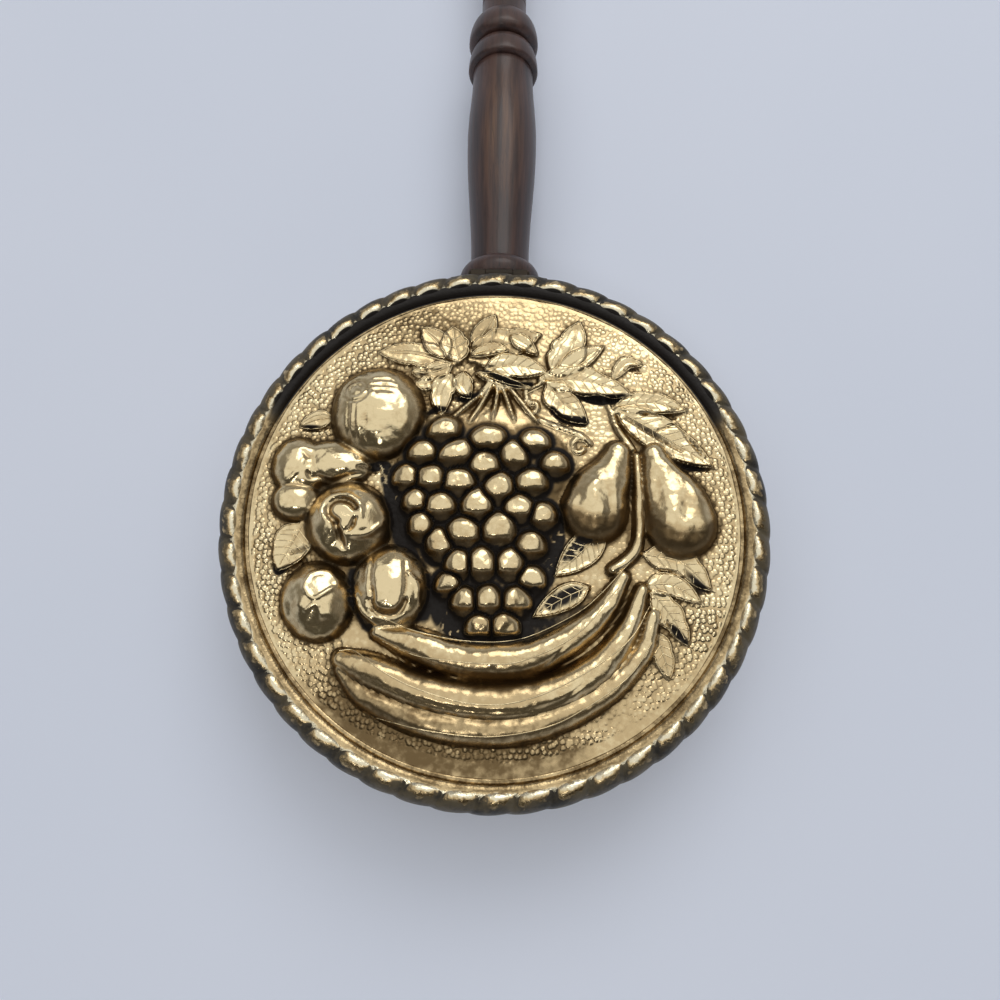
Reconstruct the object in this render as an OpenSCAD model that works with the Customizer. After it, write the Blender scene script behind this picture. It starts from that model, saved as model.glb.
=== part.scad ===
// Bed warming pan: a spun brass pan with a hinged, embossed lid on a long turned handle.
// Frame: the origin is the centre of the pan's flat base, +Z is up, the handle runs along +Y.
// All sizes are in millimetres.

/* [Pan] */
// Outermost radius of the lid's rope border
lid_r = 110; // [100:1:135]
// Height of the lid's flat field above the table
field_z = 60; // [50:1:75]
// Thickness of the brass sheet of the pan and the lid
sheet_t = 1.2; // [0.8:0.1:1.6]
// Radius of the flat that the pan stands on
base_r = 82; // [66:1:90]
// Outer radius of the bend between base and wall
bend_r = 12; // [8:1:15]
// Radius of the steel wire inside the pan's rolled rim
wire_r = 1.3; // [1:0.1:1.6]

/* [Lid] */
// Width of the rope border, seen from above
border_w = 13.25; // [12:0.25:16]
// Radius of the rope border's round section
border_r = 9; // [8.5:0.5:10]
// Height of the border's crest above the field
crest_h = 3.6; // [2:0.1:5]
// Length of the skirt below the field
skirt_drop = 10; // [9:0.5:12]
// Height of the tallest fruit above the field
fruit_h = 11.5; // [9:0.5:14]
// Gap between the closed lid and the pan's rim
lid_gap = 0.3; // [0.3:0.1:0.8]

/* [Hinge] */
// Radius of the hinge pin
hinge_pin_r = 1.25; // [1:0.05:1.6]
// Thickness of the hinge leaves
leaf_t = 1; // [0.8:0.1:1.2]
// Length of the pan's middle knuckle
mid_knuckle = 11.6; // [9:0.2:14]
// Length of each of the lid's two knuckles
end_knuckle = 6.3; // [5:0.1:8]
// Width of the leaf on the lid's skirt
lid_leaf_w = 42; // [38:1:48]
// Width of the leaf on the pan's wall
pan_leaf_w = 28; // [24:1:32]

/* [Handle] */
// Depth of the handle's axis below the lid's field
handle_drop = 29; // [28:0.5:32]
// Gap between the rope border and the collar's face
collar_gap = 4.5; // [4:0.25:6]
// Radius of the collar next to the pan
collar_r = 18.8; // [17:0.1:19.5]
// Largest radius of the barrel
barrel_r = 17; // [14:0.25:17.5]
// Length of the lower piece, from its collar to its far end
lower_len = 166.5; // [150:0.5:200]
// Length of the middle piece
middle_len = 150; // [120:1:180]
// Length of the upper piece
upper_len = 135; // [125:1:165]
// Radius of the slim neck where two pieces meet
neck_r = 11.4; // [10:0.1:13]
// Radius of the threaded studs between the pieces
stud_r = 4; // [3:0.25:5]
// How deep each stud goes into each piece
stud_depth = 20; // [14:1:24]

/* [Socket and bolt] */
// Outer radius of the brass socket
socket_r = 11.5; // [10.5:0.25:12.5]
// Radius of the wooden tenon in the socket
tenon_r = 9; // [7:0.25:9.5]
// Length of the wooden tenon
tenon_len = 8; // [6:0.5:9]
// Radius of the handle bolt
bolt_r = 3; // [2.5:0.25:3.5]
// Radius of the rivets' shanks
rivet_r = 1.25; // [1:0.05:1.5]

/* [Eye and ring] */
// Radius of the screw eye's loop, at the middle of its wire
eye_r = 6.5; // [5.5:0.25:8]
// Radius of the screw eye's wire
eye_wire_r = 1.75; // [1.25:0.05:2]
// Radius of the hanging ring's wire
ring_wire_r = 1.5; // [1.25:0.05:1.75]
// Height of the hanging ring's lowest point above the table
ring_floor = 3.5; // [2:0.5:6]

/* [Hidden] */
$fn = 96;

// Named clearances
bolt_gap = 0.2;     // round the bolt where it passes through the wall
running_gap = 0.05; // round the hinge pin in the lid's knuckles
part_gap = 0.4;     // between pieces that turn past each other
end_gap = 1;        // behind the end of a stud, bolt or screw in its blind hole
seat_gap = 0.05;    // under a rivet's flat head on the hollow side of a curved wall
over = 1;           // how far a cut runs past the face that it opens

// Colours
brass = "goldenrod";
worn_brass = "darkgoldenrod";
steel = "silver";
walnut = "saddlebrown";

// Points of an arc round [cx, cy] from angle a0 to a1
function arc(cx, cy, rx, ry, a0, a1, n) =
  [for (i = [0:n]) let (a = a0 + (a1 - a0) * i / n) [cx + rx * cos(a), cy + ry * sin(a)]];
// Smooth step from 0 to 1
function ease(t) = (1 - cos(180 * t)) / 2;
// Radius that runs smoothly from r0 to r1, as profile points from y0 to y1
function swell(y0, r0, y1, r1, n) =
  [for (i = [0:n]) let (t = i / n) [r0 + (r1 - r0) * ease(t), y0 + (y1 - y0) * t]];

// ---- Rope border and the pan's rolled rim
handle_z = field_z - handle_drop;
field_r = lid_r - border_w;
skirt_z = field_z - skirt_drop;
border_c = lid_r - border_r;
border_z = field_z + crest_h - border_r;
dish_r = 4.2;      // rounding of the border's inner wall
bead_r = wire_r + sheet_t;
bead_a = 59;       // where under the border the rolled rim sits, from the horizontal
bead_reach = border_r - sheet_t - lid_gap - bead_r;
bead_c = border_c + bead_reach * cos(bead_a);
bead_z = border_z + bead_reach * sin(bead_a);

// ---- Pan wall: a straight cone, tangent to the bend and ending at the rolled rim
wall_top_r = bead_c - wire_r;
wall_run = sqrt(pow(wall_top_r - base_r, 2) + pow(bead_z - bend_r, 2));
wall_a = acos(bend_r / wall_run) - atan2(bead_z - bend_r, wall_top_r - base_r);
wall_foot_r = base_r + bend_r * cos(wall_a);
wall_foot_z = bend_r - bend_r * sin(wall_a);
function wall_at(z) = wall_foot_r + (z - wall_foot_z) * tan(wall_a);

// Half section of the pan, filled in to the axis, set in by d from the outside
module pan_section(d) {
  polygon(concat([[0, d]],
    arc(base_r, bend_r, bend_r - d, bend_r - d, -90, -wall_a, 8),
    [[wall_top_r - d / cos(wall_a), bead_z], [0, bead_z]]));
}

// The pan's outside or inside as a solid
module pan_solid(d) { rotate_extrude() pan_section(d); }

// Half section of the pan's sheet, up to the rolled rim
module pan_sheet() {
  polygon(concat([[0, 0]],
    arc(base_r, bend_r, bend_r, bend_r, -90, -wall_a, 8),
    [[wall_top_r, bead_z], [wall_top_r - sheet_t / cos(wall_a), bead_z]],
    arc(base_r, bend_r, bend_r - sheet_t, bend_r - sheet_t, -wall_a, -90, 8),
    [[0, sheet_t]]));
}

module pan_bowl() {
  color(brass)
    difference() {
      rotate_extrude() {
        pan_sheet();
        difference() {
          translate([bead_c, bead_z]) circle(bead_r, $fn = 40);
          translate([bead_c, bead_z]) circle(wire_r, $fn = 40);
        }
      }
      bolt_hole();
      socket_rivet_holes();
      pan_leaf_rivet_holes();
    }
}

module rim_wire() {
  color(steel) rotate_extrude() translate([bead_c, bead_z]) circle(wire_r, $fn = 40);
}

// ---- Lid
drawn_r = 96.75;              // the fruit below is drawn for a field of this radius
relief_k = field_r / drawn_r;

// Half section of the lid, filled in to the axis, set in by d from the outside. The inner one runs on below
// the skirt, so that it cuts the lid open there
module lid_section(d) {
  low_z = skirt_z - (d > 0 ? over : 0);
  polygon(concat([[0, low_z], [0, field_z - d], [field_r + d / 2, field_z - d]],
    arc(border_c, field_z + crest_h - dish_r, dish_r - d, dish_r - d, 160, 90, 6),
    arc(border_c, border_z, border_r - d, border_r - d, 84, 0, 14),
    [[lid_r - d, low_z]]));
}

// A dome of base radius r and height h on the field, set in by d
module dome(x, y, r, h, d) {
  ball = (r * r + h * h) / (2 * h);
  translate([x, y, h - ball]) sphere(ball - d, $fn = 64);
}

// A curved ridge of section radius b[3] on the field, set in by d
module ridge(b, d) {
  translate([b[0], b[1], 0]) rotate([0, 0, b[4]])
    rotate_extrude(angle = b[5] - b[4]) translate([b[2], 0]) circle(b[3] - d, $fn = 40);
}

// Everything above the level z, out to just inside the field's edge
module above(z) {
  intersection() {
    children();
    translate([0, 0, z]) cylinder(r = drawn_r - 0.75, h = 3 * fruit_h);
  }
}

// Fruit that stands on the left and on the right of the grapes: [x, y, base radius, height]
FRUIT = [[-46.9, 42.7, 19.1, fruit_h], [-71, 19, 16.5, 9], [-78, 7, 11, 6.5],
         [-55.8, -1.3, 16.6, fruit_h], [-67.8, -33.5, 13.8, 9.5], [-40.3, -27.6, 14.7, 10],
         [41.5, -0.5, 13.5, 10.5], [47.5, 14, 9.5, 7.5], [74, -1.5, 14.5, 10.5], [66, 14, 9.5, 7.5]];
// Rows of the bunch of grapes: [y, first x, last x, count]
GRAPE_ROWS = [[32, -21, 19, 5], [22, -29, 27, 6], [11, -33, 18, 6], [1, -29, 11, 5],
              [-9, -23, 16, 4], [-19, -15, 14, 4], [-30, -12, 9, 3], [-41, -6, 4, 2]];
grape_r = 4.9;
grape_z = 4;       // height of the grapes' centres
bunch_h = 6.5;     // height of the mound that carries them
// Bananas: [centre x, centre y, radius of the curve, radius of the fruit, first and last angle]
BANANAS = [[-10, 22, 76, 5.2, 249, 322], [-10, 22, 89, 5.6, 240, 320], [-10, 22, 102, 4.6, 252, 318]];
// Leaves: [x, y, length, width, turn, height]
LEAVES = [[-24, 64, 42, 24, 20, 1.6], [12, 72, 32, 20, 65, 1.9], [36, 74, 30, 15, 55, 1.7],
          [36, 55, 38, 15, -10, 1.5], [70, 37, 42, 22, -38, 1.8], [-81, -11, 18, 13, 60, 1.4],
          [33, -13, 22, 13, 45, 1.6], [26, -32, 20, 11, 30, 1.4], [75, -36, 26, 14, -60, 1.5]];

// Fruit seen from outside with d = 0, and the hollow behind it with d = the sheet
module fruit(d) {
  for (f = FRUIT) dome(f[0], f[1], f[2], f[3], d);
  dome(-5, 2, 36, bunch_h, d);
  for (b = BANANAS) ridge(b, d);
}

module grapes() {
  for (g = GRAPE_ROWS, i = [0:g[3] - 1])
    translate([g[1] + (g[2] - g[1]) * i / (g[3] - 1), g[0], grape_z]) sphere(grape_r, $fn = 40);
}

module leaves() {
  for (l = LEAVES) {
    half = l[3] / 2;
    bow = (l[2] * l[2] / 4 + half * half) / (2 * half);
    translate([l[0], l[1], -sheet_t / 2]) rotate([0, 0, l[4]])
      linear_extrude(l[5] + sheet_t / 2)
        intersection() {
          translate([0, half - bow]) circle(bow);
          translate([0, bow - half]) circle(bow);
        }
  }
}

module lid_cover() {
  color(brass)
    difference() {
      union() {
        rotate_extrude() lid_section(0);
        translate([0, 0, field_z]) scale(relief_k) {
          above(-sheet_t / 2) fruit(0);
          grapes();
          leaves();
        }
      }
      rotate_extrude() lid_section(sheet_t);
      translate([0, 0, field_z]) scale(relief_k) above(-2 * sheet_t) fruit(sheet_t);
      lid_leaf_rivet_holes();
    }
}

// ---- Hinge, behind the border on the handle's side
knuckle_r = hinge_pin_r + leaf_t;
knuckle_drop = 1.65;          // how far the knuckles hang below the skirt
hinge_y = lid_r + leaf_t + part_gap + knuckle_r;
hinge_z = skirt_z + knuckle_r - knuckle_drop;
knuckle_half = mid_knuckle / 2;
lid_leaf_h = 5.5;
pan_leaf_h = 6.2;
leaf_low = hinge_z - knuckle_r;

// A band of a turned shell that shows w wide on the handle's side, from z0 to z1
module band(w, z0, z1) {
  intersection() {
    children();
    translate([-w / 2, 0, z0]) cube([w, 2 * lid_r, z1 - z0]);
  }
}

module knuckle(x0, len) {
  translate([x0, hinge_y, hinge_z]) rotate([0, 90, 0]) cylinder(r = knuckle_r, h = len);
}

module hinge_leaf_pan() {
  color(worn_brass)
    difference() {
      union() {
        band(pan_leaf_w, leaf_low, leaf_low + pan_leaf_h)
          difference() {
            rotate_extrude() translate([leaf_t / cos(wall_a), 0]) pan_section(0);
            pan_solid(0);
          }
        difference() {
          translate([-knuckle_half, 0, leaf_low]) cube([mid_knuckle, hinge_y, leaf_t]);
          pan_solid(0);
        }
        knuckle(-knuckle_half, mid_knuckle);
      }
      hinge_bore(hinge_pin_r);
      pan_leaf_rivet_holes();
    }
}

module hinge_leaf_lid() {
  color(worn_brass)
    difference() {
      union() {
        band(lid_leaf_w, skirt_z, skirt_z + lid_leaf_h)
          difference() {
            cylinder(r = lid_r + leaf_t, h = field_z, $fn = 192);
            cylinder(r = lid_r, h = field_z + over, $fn = 192);
          }
        for (x = [-knuckle_half - part_gap - end_knuckle, knuckle_half + part_gap]) {
          knuckle(x, end_knuckle);
          difference() {
            translate([x, 0, hinge_z + knuckle_r - leaf_t]) cube([end_knuckle, hinge_y, leaf_t]);
            translate([0, 0, skirt_z]) cylinder(r = lid_r, h = skirt_drop, $fn = 192);
          }
        }
      }
      hinge_bore(hinge_pin_r + running_gap);
      lid_leaf_rivet_holes();
    }
}

module hinge_bore(r) {
  translate([-lid_leaf_w, hinge_y, hinge_z]) rotate([0, 90, 0]) cylinder(r = r, h = 2 * lid_leaf_w);
}

pin_half = knuckle_half + part_gap + end_knuckle + part_gap;
pin_head_r = hinge_pin_r * 1.5;
pin_head_h = 1;

module hinge_pin() {
  color(worn_brass)
    translate([0, hinge_y, hinge_z]) rotate([0, 90, 0]) {
      translate([0, 0, -pin_half]) cylinder(r = hinge_pin_r, h = 2 * pin_half);
      for (end = [0, 1]) mirror([0, 0, end]) translate([0, 0, pin_half]) button(pin_head_r, pin_head_h);
    }
}

// ---- Rivets
rivet_head_r = 2.2;
rivet_head_h = 1;
socket_t = 1.5;    // thickness of the socket's flange
socket_rivet_x = 20;
socket_rivet_dz = 5.5;
pan_rivet_x = 10.5;
lid_rivet_x = 17.5;
SOCKET_RIVETS = [for (x = [-1, 1], z = [-1, 1]) [x * socket_rivet_x, handle_z + z * socket_rivet_dz]];
PAN_RIVETS = [for (x = [-1, 1]) [x * pan_rivet_x, leaf_low + pan_leaf_h / 2]];
LID_RIVETS = [for (x = [-1, 1]) [x * lid_rivet_x, skirt_z + lid_leaf_h / 2]];

// A low round head on the plane z = 0
module button(r, h) {
  rotate_extrude() polygon(concat([[0, 0]], arc(0, 0, r, h, 0, 90, 5)));
}

// Puts what follows on the cone or cylinder of radius r at height p[1], x = p[0], facing out
module on_wall(p, r, tilt) {
  rotate([0, 0, -asin(p[0] / r)]) translate([0, r, p[1]]) rotate([-90 - tilt, 0, 0]) children();
}

// A rivet through grip of metal, its outer head on z = 0
module rivet(grip) {
  button(rivet_head_r, rivet_head_h);
  translate([0, 0, -grip - seat_gap]) {
    cylinder(r = rivet_r, h = grip + seat_gap);
    mirror([0, 0, 1]) button(rivet_head_r, rivet_head_h);
  }
}

// Cuts through the sheet and a leaf or flange up to 2 mm thick
module rivet_hole() {
  translate([0, 0, -sheet_t - 2 - over]) cylinder(r = rivet_r, h = sheet_t + 2 + 2 * over);
}

module socket_rivet_holes() {
  for (p = SOCKET_RIVETS) on_wall(p, wall_at(p[1]) + socket_t / cos(wall_a), wall_a) rivet_hole();
}

module pan_leaf_rivet_holes() {
  for (p = PAN_RIVETS) on_wall(p, wall_at(p[1]) + leaf_t / cos(wall_a), wall_a) rivet_hole();
}

module lid_leaf_rivet_holes() {
  for (p = LID_RIVETS) on_wall(p, lid_r + leaf_t, 0) rivet_hole();
}

module socket_rivets() {
  color(worn_brass)
    for (p = SOCKET_RIVETS)
      on_wall(p, wall_at(p[1]) + socket_t / cos(wall_a), wall_a) rivet(sheet_t + socket_t);
}

module pan_leaf_rivets() {
  color(worn_brass)
    for (p = PAN_RIVETS) on_wall(p, wall_at(p[1]) + leaf_t / cos(wall_a), wall_a) rivet(sheet_t + leaf_t);
}

module lid_leaf_rivets() {
  color(worn_brass) for (p = LID_RIVETS) on_wall(p, lid_r + leaf_t, 0) rivet(sheet_t + leaf_t);
}

// ---- Socket and bolt
front_y = lid_r + collar_gap; // front face of the collar, behind the border
flange_half_w = 27;
flange_half_h = 9.5;
saddle_r = 8.5;
saddle_t = 4;
saddle_y = wall_at(handle_z) - sheet_t / cos(wall_a) - saddle_t;
insert_wall = 2;
insert_r = bolt_r + insert_wall;
insert_len = 20;
tenon_y = front_y - tenon_len;
bolt_end = tenon_y + insert_len + 3;   // the bolt's tip shows 3 mm past the insert

// Turns a shape drawn along +Z so that it lies on the handle's axis
module on_handle() {
  translate([0, 0, handle_z]) rotate([-90, 0, 0]) children();
}

// A round bar on the handle's axis
module bar(r, y0, y1) {
  on_handle() translate([0, 0, y0]) cylinder(r = r, h = y1 - y0);
}

module bolt_hole() { bar(bolt_r + bolt_gap, saddle_y - over, tenon_y + over); }

module handle_socket() {
  color(brass)
    difference() {
      union() {
        bar(socket_r, base_r, front_y);
        intersection() {
          rotate_extrude() translate([socket_t / cos(wall_a), 0]) pan_section(0);
          union() {
            for (x = [-1, 1]) translate([x * (flange_half_w - flange_half_h), 0, 0])
              bar(flange_half_h, base_r, front_y);
            translate([flange_half_h - flange_half_w, base_r, handle_z - flange_half_h])
              cube([2 * (flange_half_w - flange_half_h), front_y - base_r, 2 * flange_half_h]);
          }
        }
      }
      pan_solid(0);
      bar(tenon_r, tenon_y, front_y + over);
      bolt_hole();
      socket_rivet_holes();
    }
}

module bolt_saddle() {
  color(brass)
    difference() {
      intersection() {
        bar(saddle_r, saddle_y, lid_r);
        pan_solid(sheet_t);
      }
      bolt_hole();
    }
}

module handle_bolt() {
  head_r = 2 * bolt_r;
  head_h = 3.2;
  slot_w = 1.2;
  slot_h = 1.4;
  color(steel)
    difference() {
      union() {
        bar(bolt_r, saddle_y, bolt_end);
        on_handle() translate([0, 0, saddle_y]) mirror([0, 0, 1]) button(head_r, head_h);
      }
      translate([-slot_w / 2, saddle_y - head_h, handle_z - head_r]) cube([slot_w, slot_h, 2 * head_r]);
    }
}

module handle_insert() {
  color(brass)
    difference() {
      bar(insert_r, tenon_y, tenon_y + insert_len);
      bar(bolt_r, tenon_y - over, tenon_y + insert_len + over);
    }
}

// ---- Turned handle, three pieces end to end
lower_end = front_y + lower_len;
middle_end = lower_end + middle_len;
upper_end = middle_end + upper_len;
collar_half = 6.5;            // half the collar's width
collar_edge = 6;              // roundness of the collar's edge
collar_y = front_y + collar_half;
foot_r = 13.7;                // barrel next to the collar
top_r = 15.1;                 // barrel next to the beads
barrel_y0 = collar_y + 7;     // where the barrel leaves the collar's throat
beads_y = lower_end - 43.5;   // where the barrel meets the two beads
barrel_mid = barrel_y0 + 0.63 * (beads_y - barrel_y0);
bead_sink = 0.3;              // how deep the groove before the beads is cut
bead_small_y = beads_y + 2.6;
bead_small_r = 17.6;
bead_large_y = beads_y + 19.1;
bead_large_r = 17.7;
notch_r = 13.2;                // bottom of the notch between the two beads
neck_y = beads_y + 33;        // where the large bead has run out into the neck

// A bead that rises over front to r1 at y, then falls over back, between radii r0 and r2
function bead(y, r0, r1, r2, front, back) =
  [for (p = concat(arc(y, r0, front, r1 - r0, 176, 90, 6), arc(y, r2, back, r1 - r2, 84, 6, 9)))
    [p[1], p[0]]];

// Profiles are lists of [radius, place along the handle]
LOWER = concat([[0, tenon_y], [tenon_r, tenon_y], [tenon_r, front_y]],
  [for (p = arc(collar_y, collar_r - collar_edge, collar_half, collar_edge, 180, 12, 12)) [p[1], p[0]]],
  swell(barrel_y0, foot_r, barrel_mid, barrel_r, 12),
  swell(barrel_mid + 1, barrel_r, beads_y, top_r, 8),
  bead(bead_small_y, top_r - bead_sink, bead_small_r, notch_r, 2, 12),
  bead(bead_large_y, notch_r, bead_large_r, neck_r, 4, 12.8),
  [[neck_r, neck_y], [neck_r, lower_end], [0, lower_end]]);

slim_r = neck_r - 1.2;        // the middle piece's far end
middle_r = neck_r + 0.8;      // the middle piece's widest place
middle_y = lower_end + middle_len * 0.45;
MIDDLE = concat([[0, lower_end]],
  swell(lower_end, neck_r, middle_y, middle_r, 8),
  swell(middle_y + 3, middle_r, middle_end - 6, slim_r, 8),
  [[slim_r, middle_end], [0, middle_end]]);

upper_bead_y = middle_end + 7;
upper_bead_r = slim_r + 4.4;
lesser_bead_y = middle_end + 18.5;
lesser_bead_r = slim_r + 3.4;
grip_y = middle_end + 26;
grip_end = upper_end - 34;
grip_mid = grip_y + (grip_end - grip_y) * 0.55;
grip_r = slim_r + 3.2;
grip_end_r = slim_r - 1.2;
knob_y = upper_end - 16.5;
knob_r = 13.5;
pad_r = 6.5;
pad_h = 4.6;
UPPER = concat([[0, middle_end], [slim_r, middle_end]],
  bead(upper_bead_y, slim_r + 0.4, upper_bead_r, slim_r + 0.4, 5.5, 5.5),
  bead(lesser_bead_y, slim_r + 0.4, lesser_bead_r, slim_r + 0.4, 4.5, 4.5),
  swell(grip_y, slim_r, grip_mid, grip_r, 10),
  swell(grip_mid + 2, grip_r, grip_end, grip_end_r, 8),
  [for (p = arc(knob_y, 0, knob_r, knob_r, 142, 32, 14)) [p[1], p[0]]],
  [[pad_r, upper_end - pad_h], [pad_r, upper_end], [0, upper_end]]);

module turned(profile) {
  on_handle() rotate_extrude() polygon(profile);
}

module handle_lower() {
  color(walnut)
    difference() {
      turned(LOWER);
      bar(insert_r, tenon_y - over, tenon_y + insert_len);
      bar(bolt_r + bolt_gap, tenon_y, bolt_end + end_gap);
      bar(stud_r, lower_end - stud_depth - end_gap, lower_end + over);
    }
}

module handle_middle() {
  color(walnut)
    difference() {
      turned(MIDDLE);
      bar(stud_r, lower_end - over, lower_end + stud_depth + end_gap);
      bar(stud_r, middle_end - stud_depth - end_gap, middle_end + over);
    }
}

module handle_upper() {
  color(walnut)
    difference() {
      turned(UPPER);
      bar(stud_r, middle_end - over, middle_end + stud_depth + end_gap);
      bar(screw_r, upper_end - screw_len - end_gap, upper_end + over);
    }
}

// A threaded stud across the joint at y
module stud(y) {
  color(steel) bar(stud_r, y - stud_depth, y + stud_depth);
}

module middle_stud() { stud(lower_end); }

module upper_stud() { stud(middle_end); }

// ---- Screw eye and hanging ring
screw_r = 2;
screw_len = 20;
eye_pad_r = 5;
eye_pad_h = 1.5;
eye_stand = 0.25;             // between the screw eye's loop and its pad
eye_y = upper_end + eye_pad_h + eye_r + eye_wire_r + eye_stand;
swing_z = handle_z - eye_r + eye_wire_r + ring_wire_r + lid_gap;
ring_r = (swing_z - ring_wire_r - ring_floor) / 2;

module screw_eye() {
  color(brass) {
    bar(screw_r, upper_end - screw_len, eye_y - eye_r);
    bar(eye_pad_r, upper_end, upper_end + eye_pad_h);
    translate([0, eye_y, handle_z]) rotate([0, 90, 0])
      rotate_extrude() translate([eye_r, 0]) circle(eye_wire_r, $fn = 32);
  }
}

module hanging_ring() {
  color(brass)
    translate([0, eye_y, swing_z - ring_r]) rotate([90, 0, 0])
      rotate_extrude() translate([ring_r, 0]) circle(ring_wire_r, $fn = 32);
}

pan_bowl();
rim_wire();
lid_cover();
hinge_leaf_pan();
hinge_leaf_lid();
hinge_pin();
pan_leaf_rivets();
lid_leaf_rivets();
handle_socket();
socket_rivets();
bolt_saddle();
handle_bolt();
handle_insert();
handle_lower();
middle_stud();
handle_middle();
upper_stud();
handle_upper();
screw_eye();
hanging_ring();
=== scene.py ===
# %% [markdown]
# # A brass bed warming pan, built cell by cell
#
# A warming pan is a lidded brass bowl on a long handle. Embers went into the bowl, the lid was
# closed, and the pan was slid between the sheets of a bed. This one is a decorative pan: its lid is
# pressed with a heap of fruit inside a rope border, and its handle is turned from dark wood.
#
# The construction is already made. The first cell loads it as a fixed frame, and everything below
# only gives it its looks, in the same place and at the same size.

# %% Load the frame
import math

import bmesh
import bpy
import numpy as np
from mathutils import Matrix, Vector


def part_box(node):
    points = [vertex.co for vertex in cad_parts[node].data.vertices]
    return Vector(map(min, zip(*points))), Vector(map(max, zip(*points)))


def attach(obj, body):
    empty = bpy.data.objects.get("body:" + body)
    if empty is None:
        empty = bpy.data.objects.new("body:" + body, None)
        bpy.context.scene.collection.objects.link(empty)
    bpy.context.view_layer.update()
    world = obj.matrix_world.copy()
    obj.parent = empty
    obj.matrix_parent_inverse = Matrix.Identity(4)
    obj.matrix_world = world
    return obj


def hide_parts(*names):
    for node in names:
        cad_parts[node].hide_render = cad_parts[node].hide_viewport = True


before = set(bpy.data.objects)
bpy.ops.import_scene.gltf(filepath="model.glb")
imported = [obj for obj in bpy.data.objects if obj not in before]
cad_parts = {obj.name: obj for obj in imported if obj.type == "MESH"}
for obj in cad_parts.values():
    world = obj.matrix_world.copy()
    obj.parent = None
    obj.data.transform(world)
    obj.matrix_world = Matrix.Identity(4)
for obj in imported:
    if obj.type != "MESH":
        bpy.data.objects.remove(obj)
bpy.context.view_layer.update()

# %% [markdown]
# ## Sizes
#
# A spinner thinks in millimetres, so every size below is in millimetres, and one helper turns them
# into Blender's metres when a mesh is made. The overall sizes are read off the frame. The others
# are the workshop sizes that the frame was built from: they can't be measured on it because they
# lie inside a piece.

# %% Sizes of the pan, in millimetres
MM = 0.001


def frame_box(name):
    """The lowest and highest corners of a node of the frame, in millimetres."""
    low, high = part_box(name)
    return [v / MM for v in low], [v / MM for v in high]


lid_low, lid_high = frame_box("lid_cover")
lid_r = lid_high[0]
skirt_z = lid_low[2]
fruit_top_z = lid_high[2]
skirt_drop = 10
field_z = skirt_z + skirt_drop
sheet_t = 1.2
border_w = 13.25
border_r = 9
crest_h = 3.6
dish_r = 4.2
field_r = lid_r - border_w
border_c = lid_r - border_r
border_z = field_z + crest_h - border_r
handle_drop = 29
handle_z = field_z - handle_drop
print(f"lid radius {lid_r:.2f}, field radius {field_r:.2f} at z {field_z:.2f}, "
      f"fruit up to z {fruit_top_z:.2f}")


# %% [markdown]
# ## Small tools
#
# `make_mesh` turns lists of points and faces into a Blender object that already stands in the right
# place. `lathe` does what a lathe does: it turns an outline round an axis. Both ends of the outline
# lie on the axis, so the piece comes out closed, with one point at each pole. A spinner's chuck and
# a wood turner's lathe make their pieces the same way, which is why the bowl and the handle are
# made by it and not from boxes and cylinders.

# %% Mesh and lathe
SHARP = math.radians(38)


def make_mesh(name, points, faces):
    """A smooth-shaded object from points in millimetres."""
    mesh = bpy.data.meshes.new(name)
    mesh.from_pydata((np.asarray(points, float) * MM).tolist(), [], faces)
    mesh.update()
    mesh.shade_smooth()
    mesh.set_sharp_from_angle(angle=SHARP)
    thing = bpy.data.objects.new(name, mesh)
    bpy.context.collection.objects.link(thing)
    return thing


def upright(radius, along, angle):
    """A place on the pan's own axis: straight up through the middle of its base."""
    return radius * np.cos(angle), radius * np.sin(angle), along


def on_handle(radius, along, angle):
    """A place on the handle's axis, which runs along Y at the height handle_z."""
    return radius * np.sin(angle), along, handle_z + radius * np.cos(angle)


def lathe(name, outline, steps, place):
    """Turns an outline of (radius, place along the axis), whose two ends lie on the axis."""
    turn = np.linspace(0, 2 * np.pi, steps, endpoint=False)
    points = [place(0.0, outline[0][1], 0.0)]
    for radius, along in outline[1:-1]:
        x, y, z = np.broadcast_arrays(*place(radius, along, turn))
        points += list(zip(x, y, z))
    points.append(place(0.0, outline[-1][1], 0.0))
    rings = len(outline) - 2
    last = len(points) - 1
    faces = []
    for k in range(steps):
        n = (k + 1) % steps
        faces.append((0, 1 + n, 1 + k))
        for ring in range(rings - 1):
            a, b = 1 + ring * steps, 1 + (ring + 1) * steps
            faces.append((a + k, a + n, b + n, b + k))
        faces.append((1 + (rings - 1) * steps + k, 1 + (rings - 1) * steps + n, last))
    thing = make_mesh(name, points, faces)
    face_outwards(thing)
    return thing


def face_outwards(thing):
    """Turns every face of a closed piece outwards."""
    shape = bmesh.new()
    shape.from_mesh(thing.data)
    bmesh.ops.recalc_face_normals(shape, faces=shape.faces)
    if shape.calc_volume(signed=True) < 0:
        bmesh.ops.reverse_faces(shape, faces=shape.faces)
    shape.to_mesh(thing.data)
    shape.free()


def report(thing):
    """Says how many triangles a piece has and whether it is closed."""
    shape = bmesh.new()
    shape.from_mesh(thing.data)
    triangles = sum(len(f.verts) - 2 for f in shape.faces)
    open_edges = sum(1 for e in shape.edges if not e.is_manifold)
    volume = shape.calc_volume() / MM ** 3
    print(f"{thing.name}: {triangles} triangles, {open_edges} open edges, {volume:.0f} mm3")
    shape.free()


# %% Points of an outline
def arc(cx, cy, rx, ry, start, end, n):
    """Points of an arc from one angle to another, in degrees."""
    t = np.radians(np.linspace(start, end, n + 1))
    return list(zip(cx + rx * np.cos(t), cy + ry * np.sin(t)))


def swell(y0, r0, y1, r1, n):
    """A radius that runs smoothly from r0 to r1, as (radius, place) points."""
    t = np.linspace(0, 1, n + 1)
    ease = (1 - np.cos(np.pi * t)) / 2
    return list(zip(r0 + (r1 - r0) * ease, y0 + (y1 - y0) * t))


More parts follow.
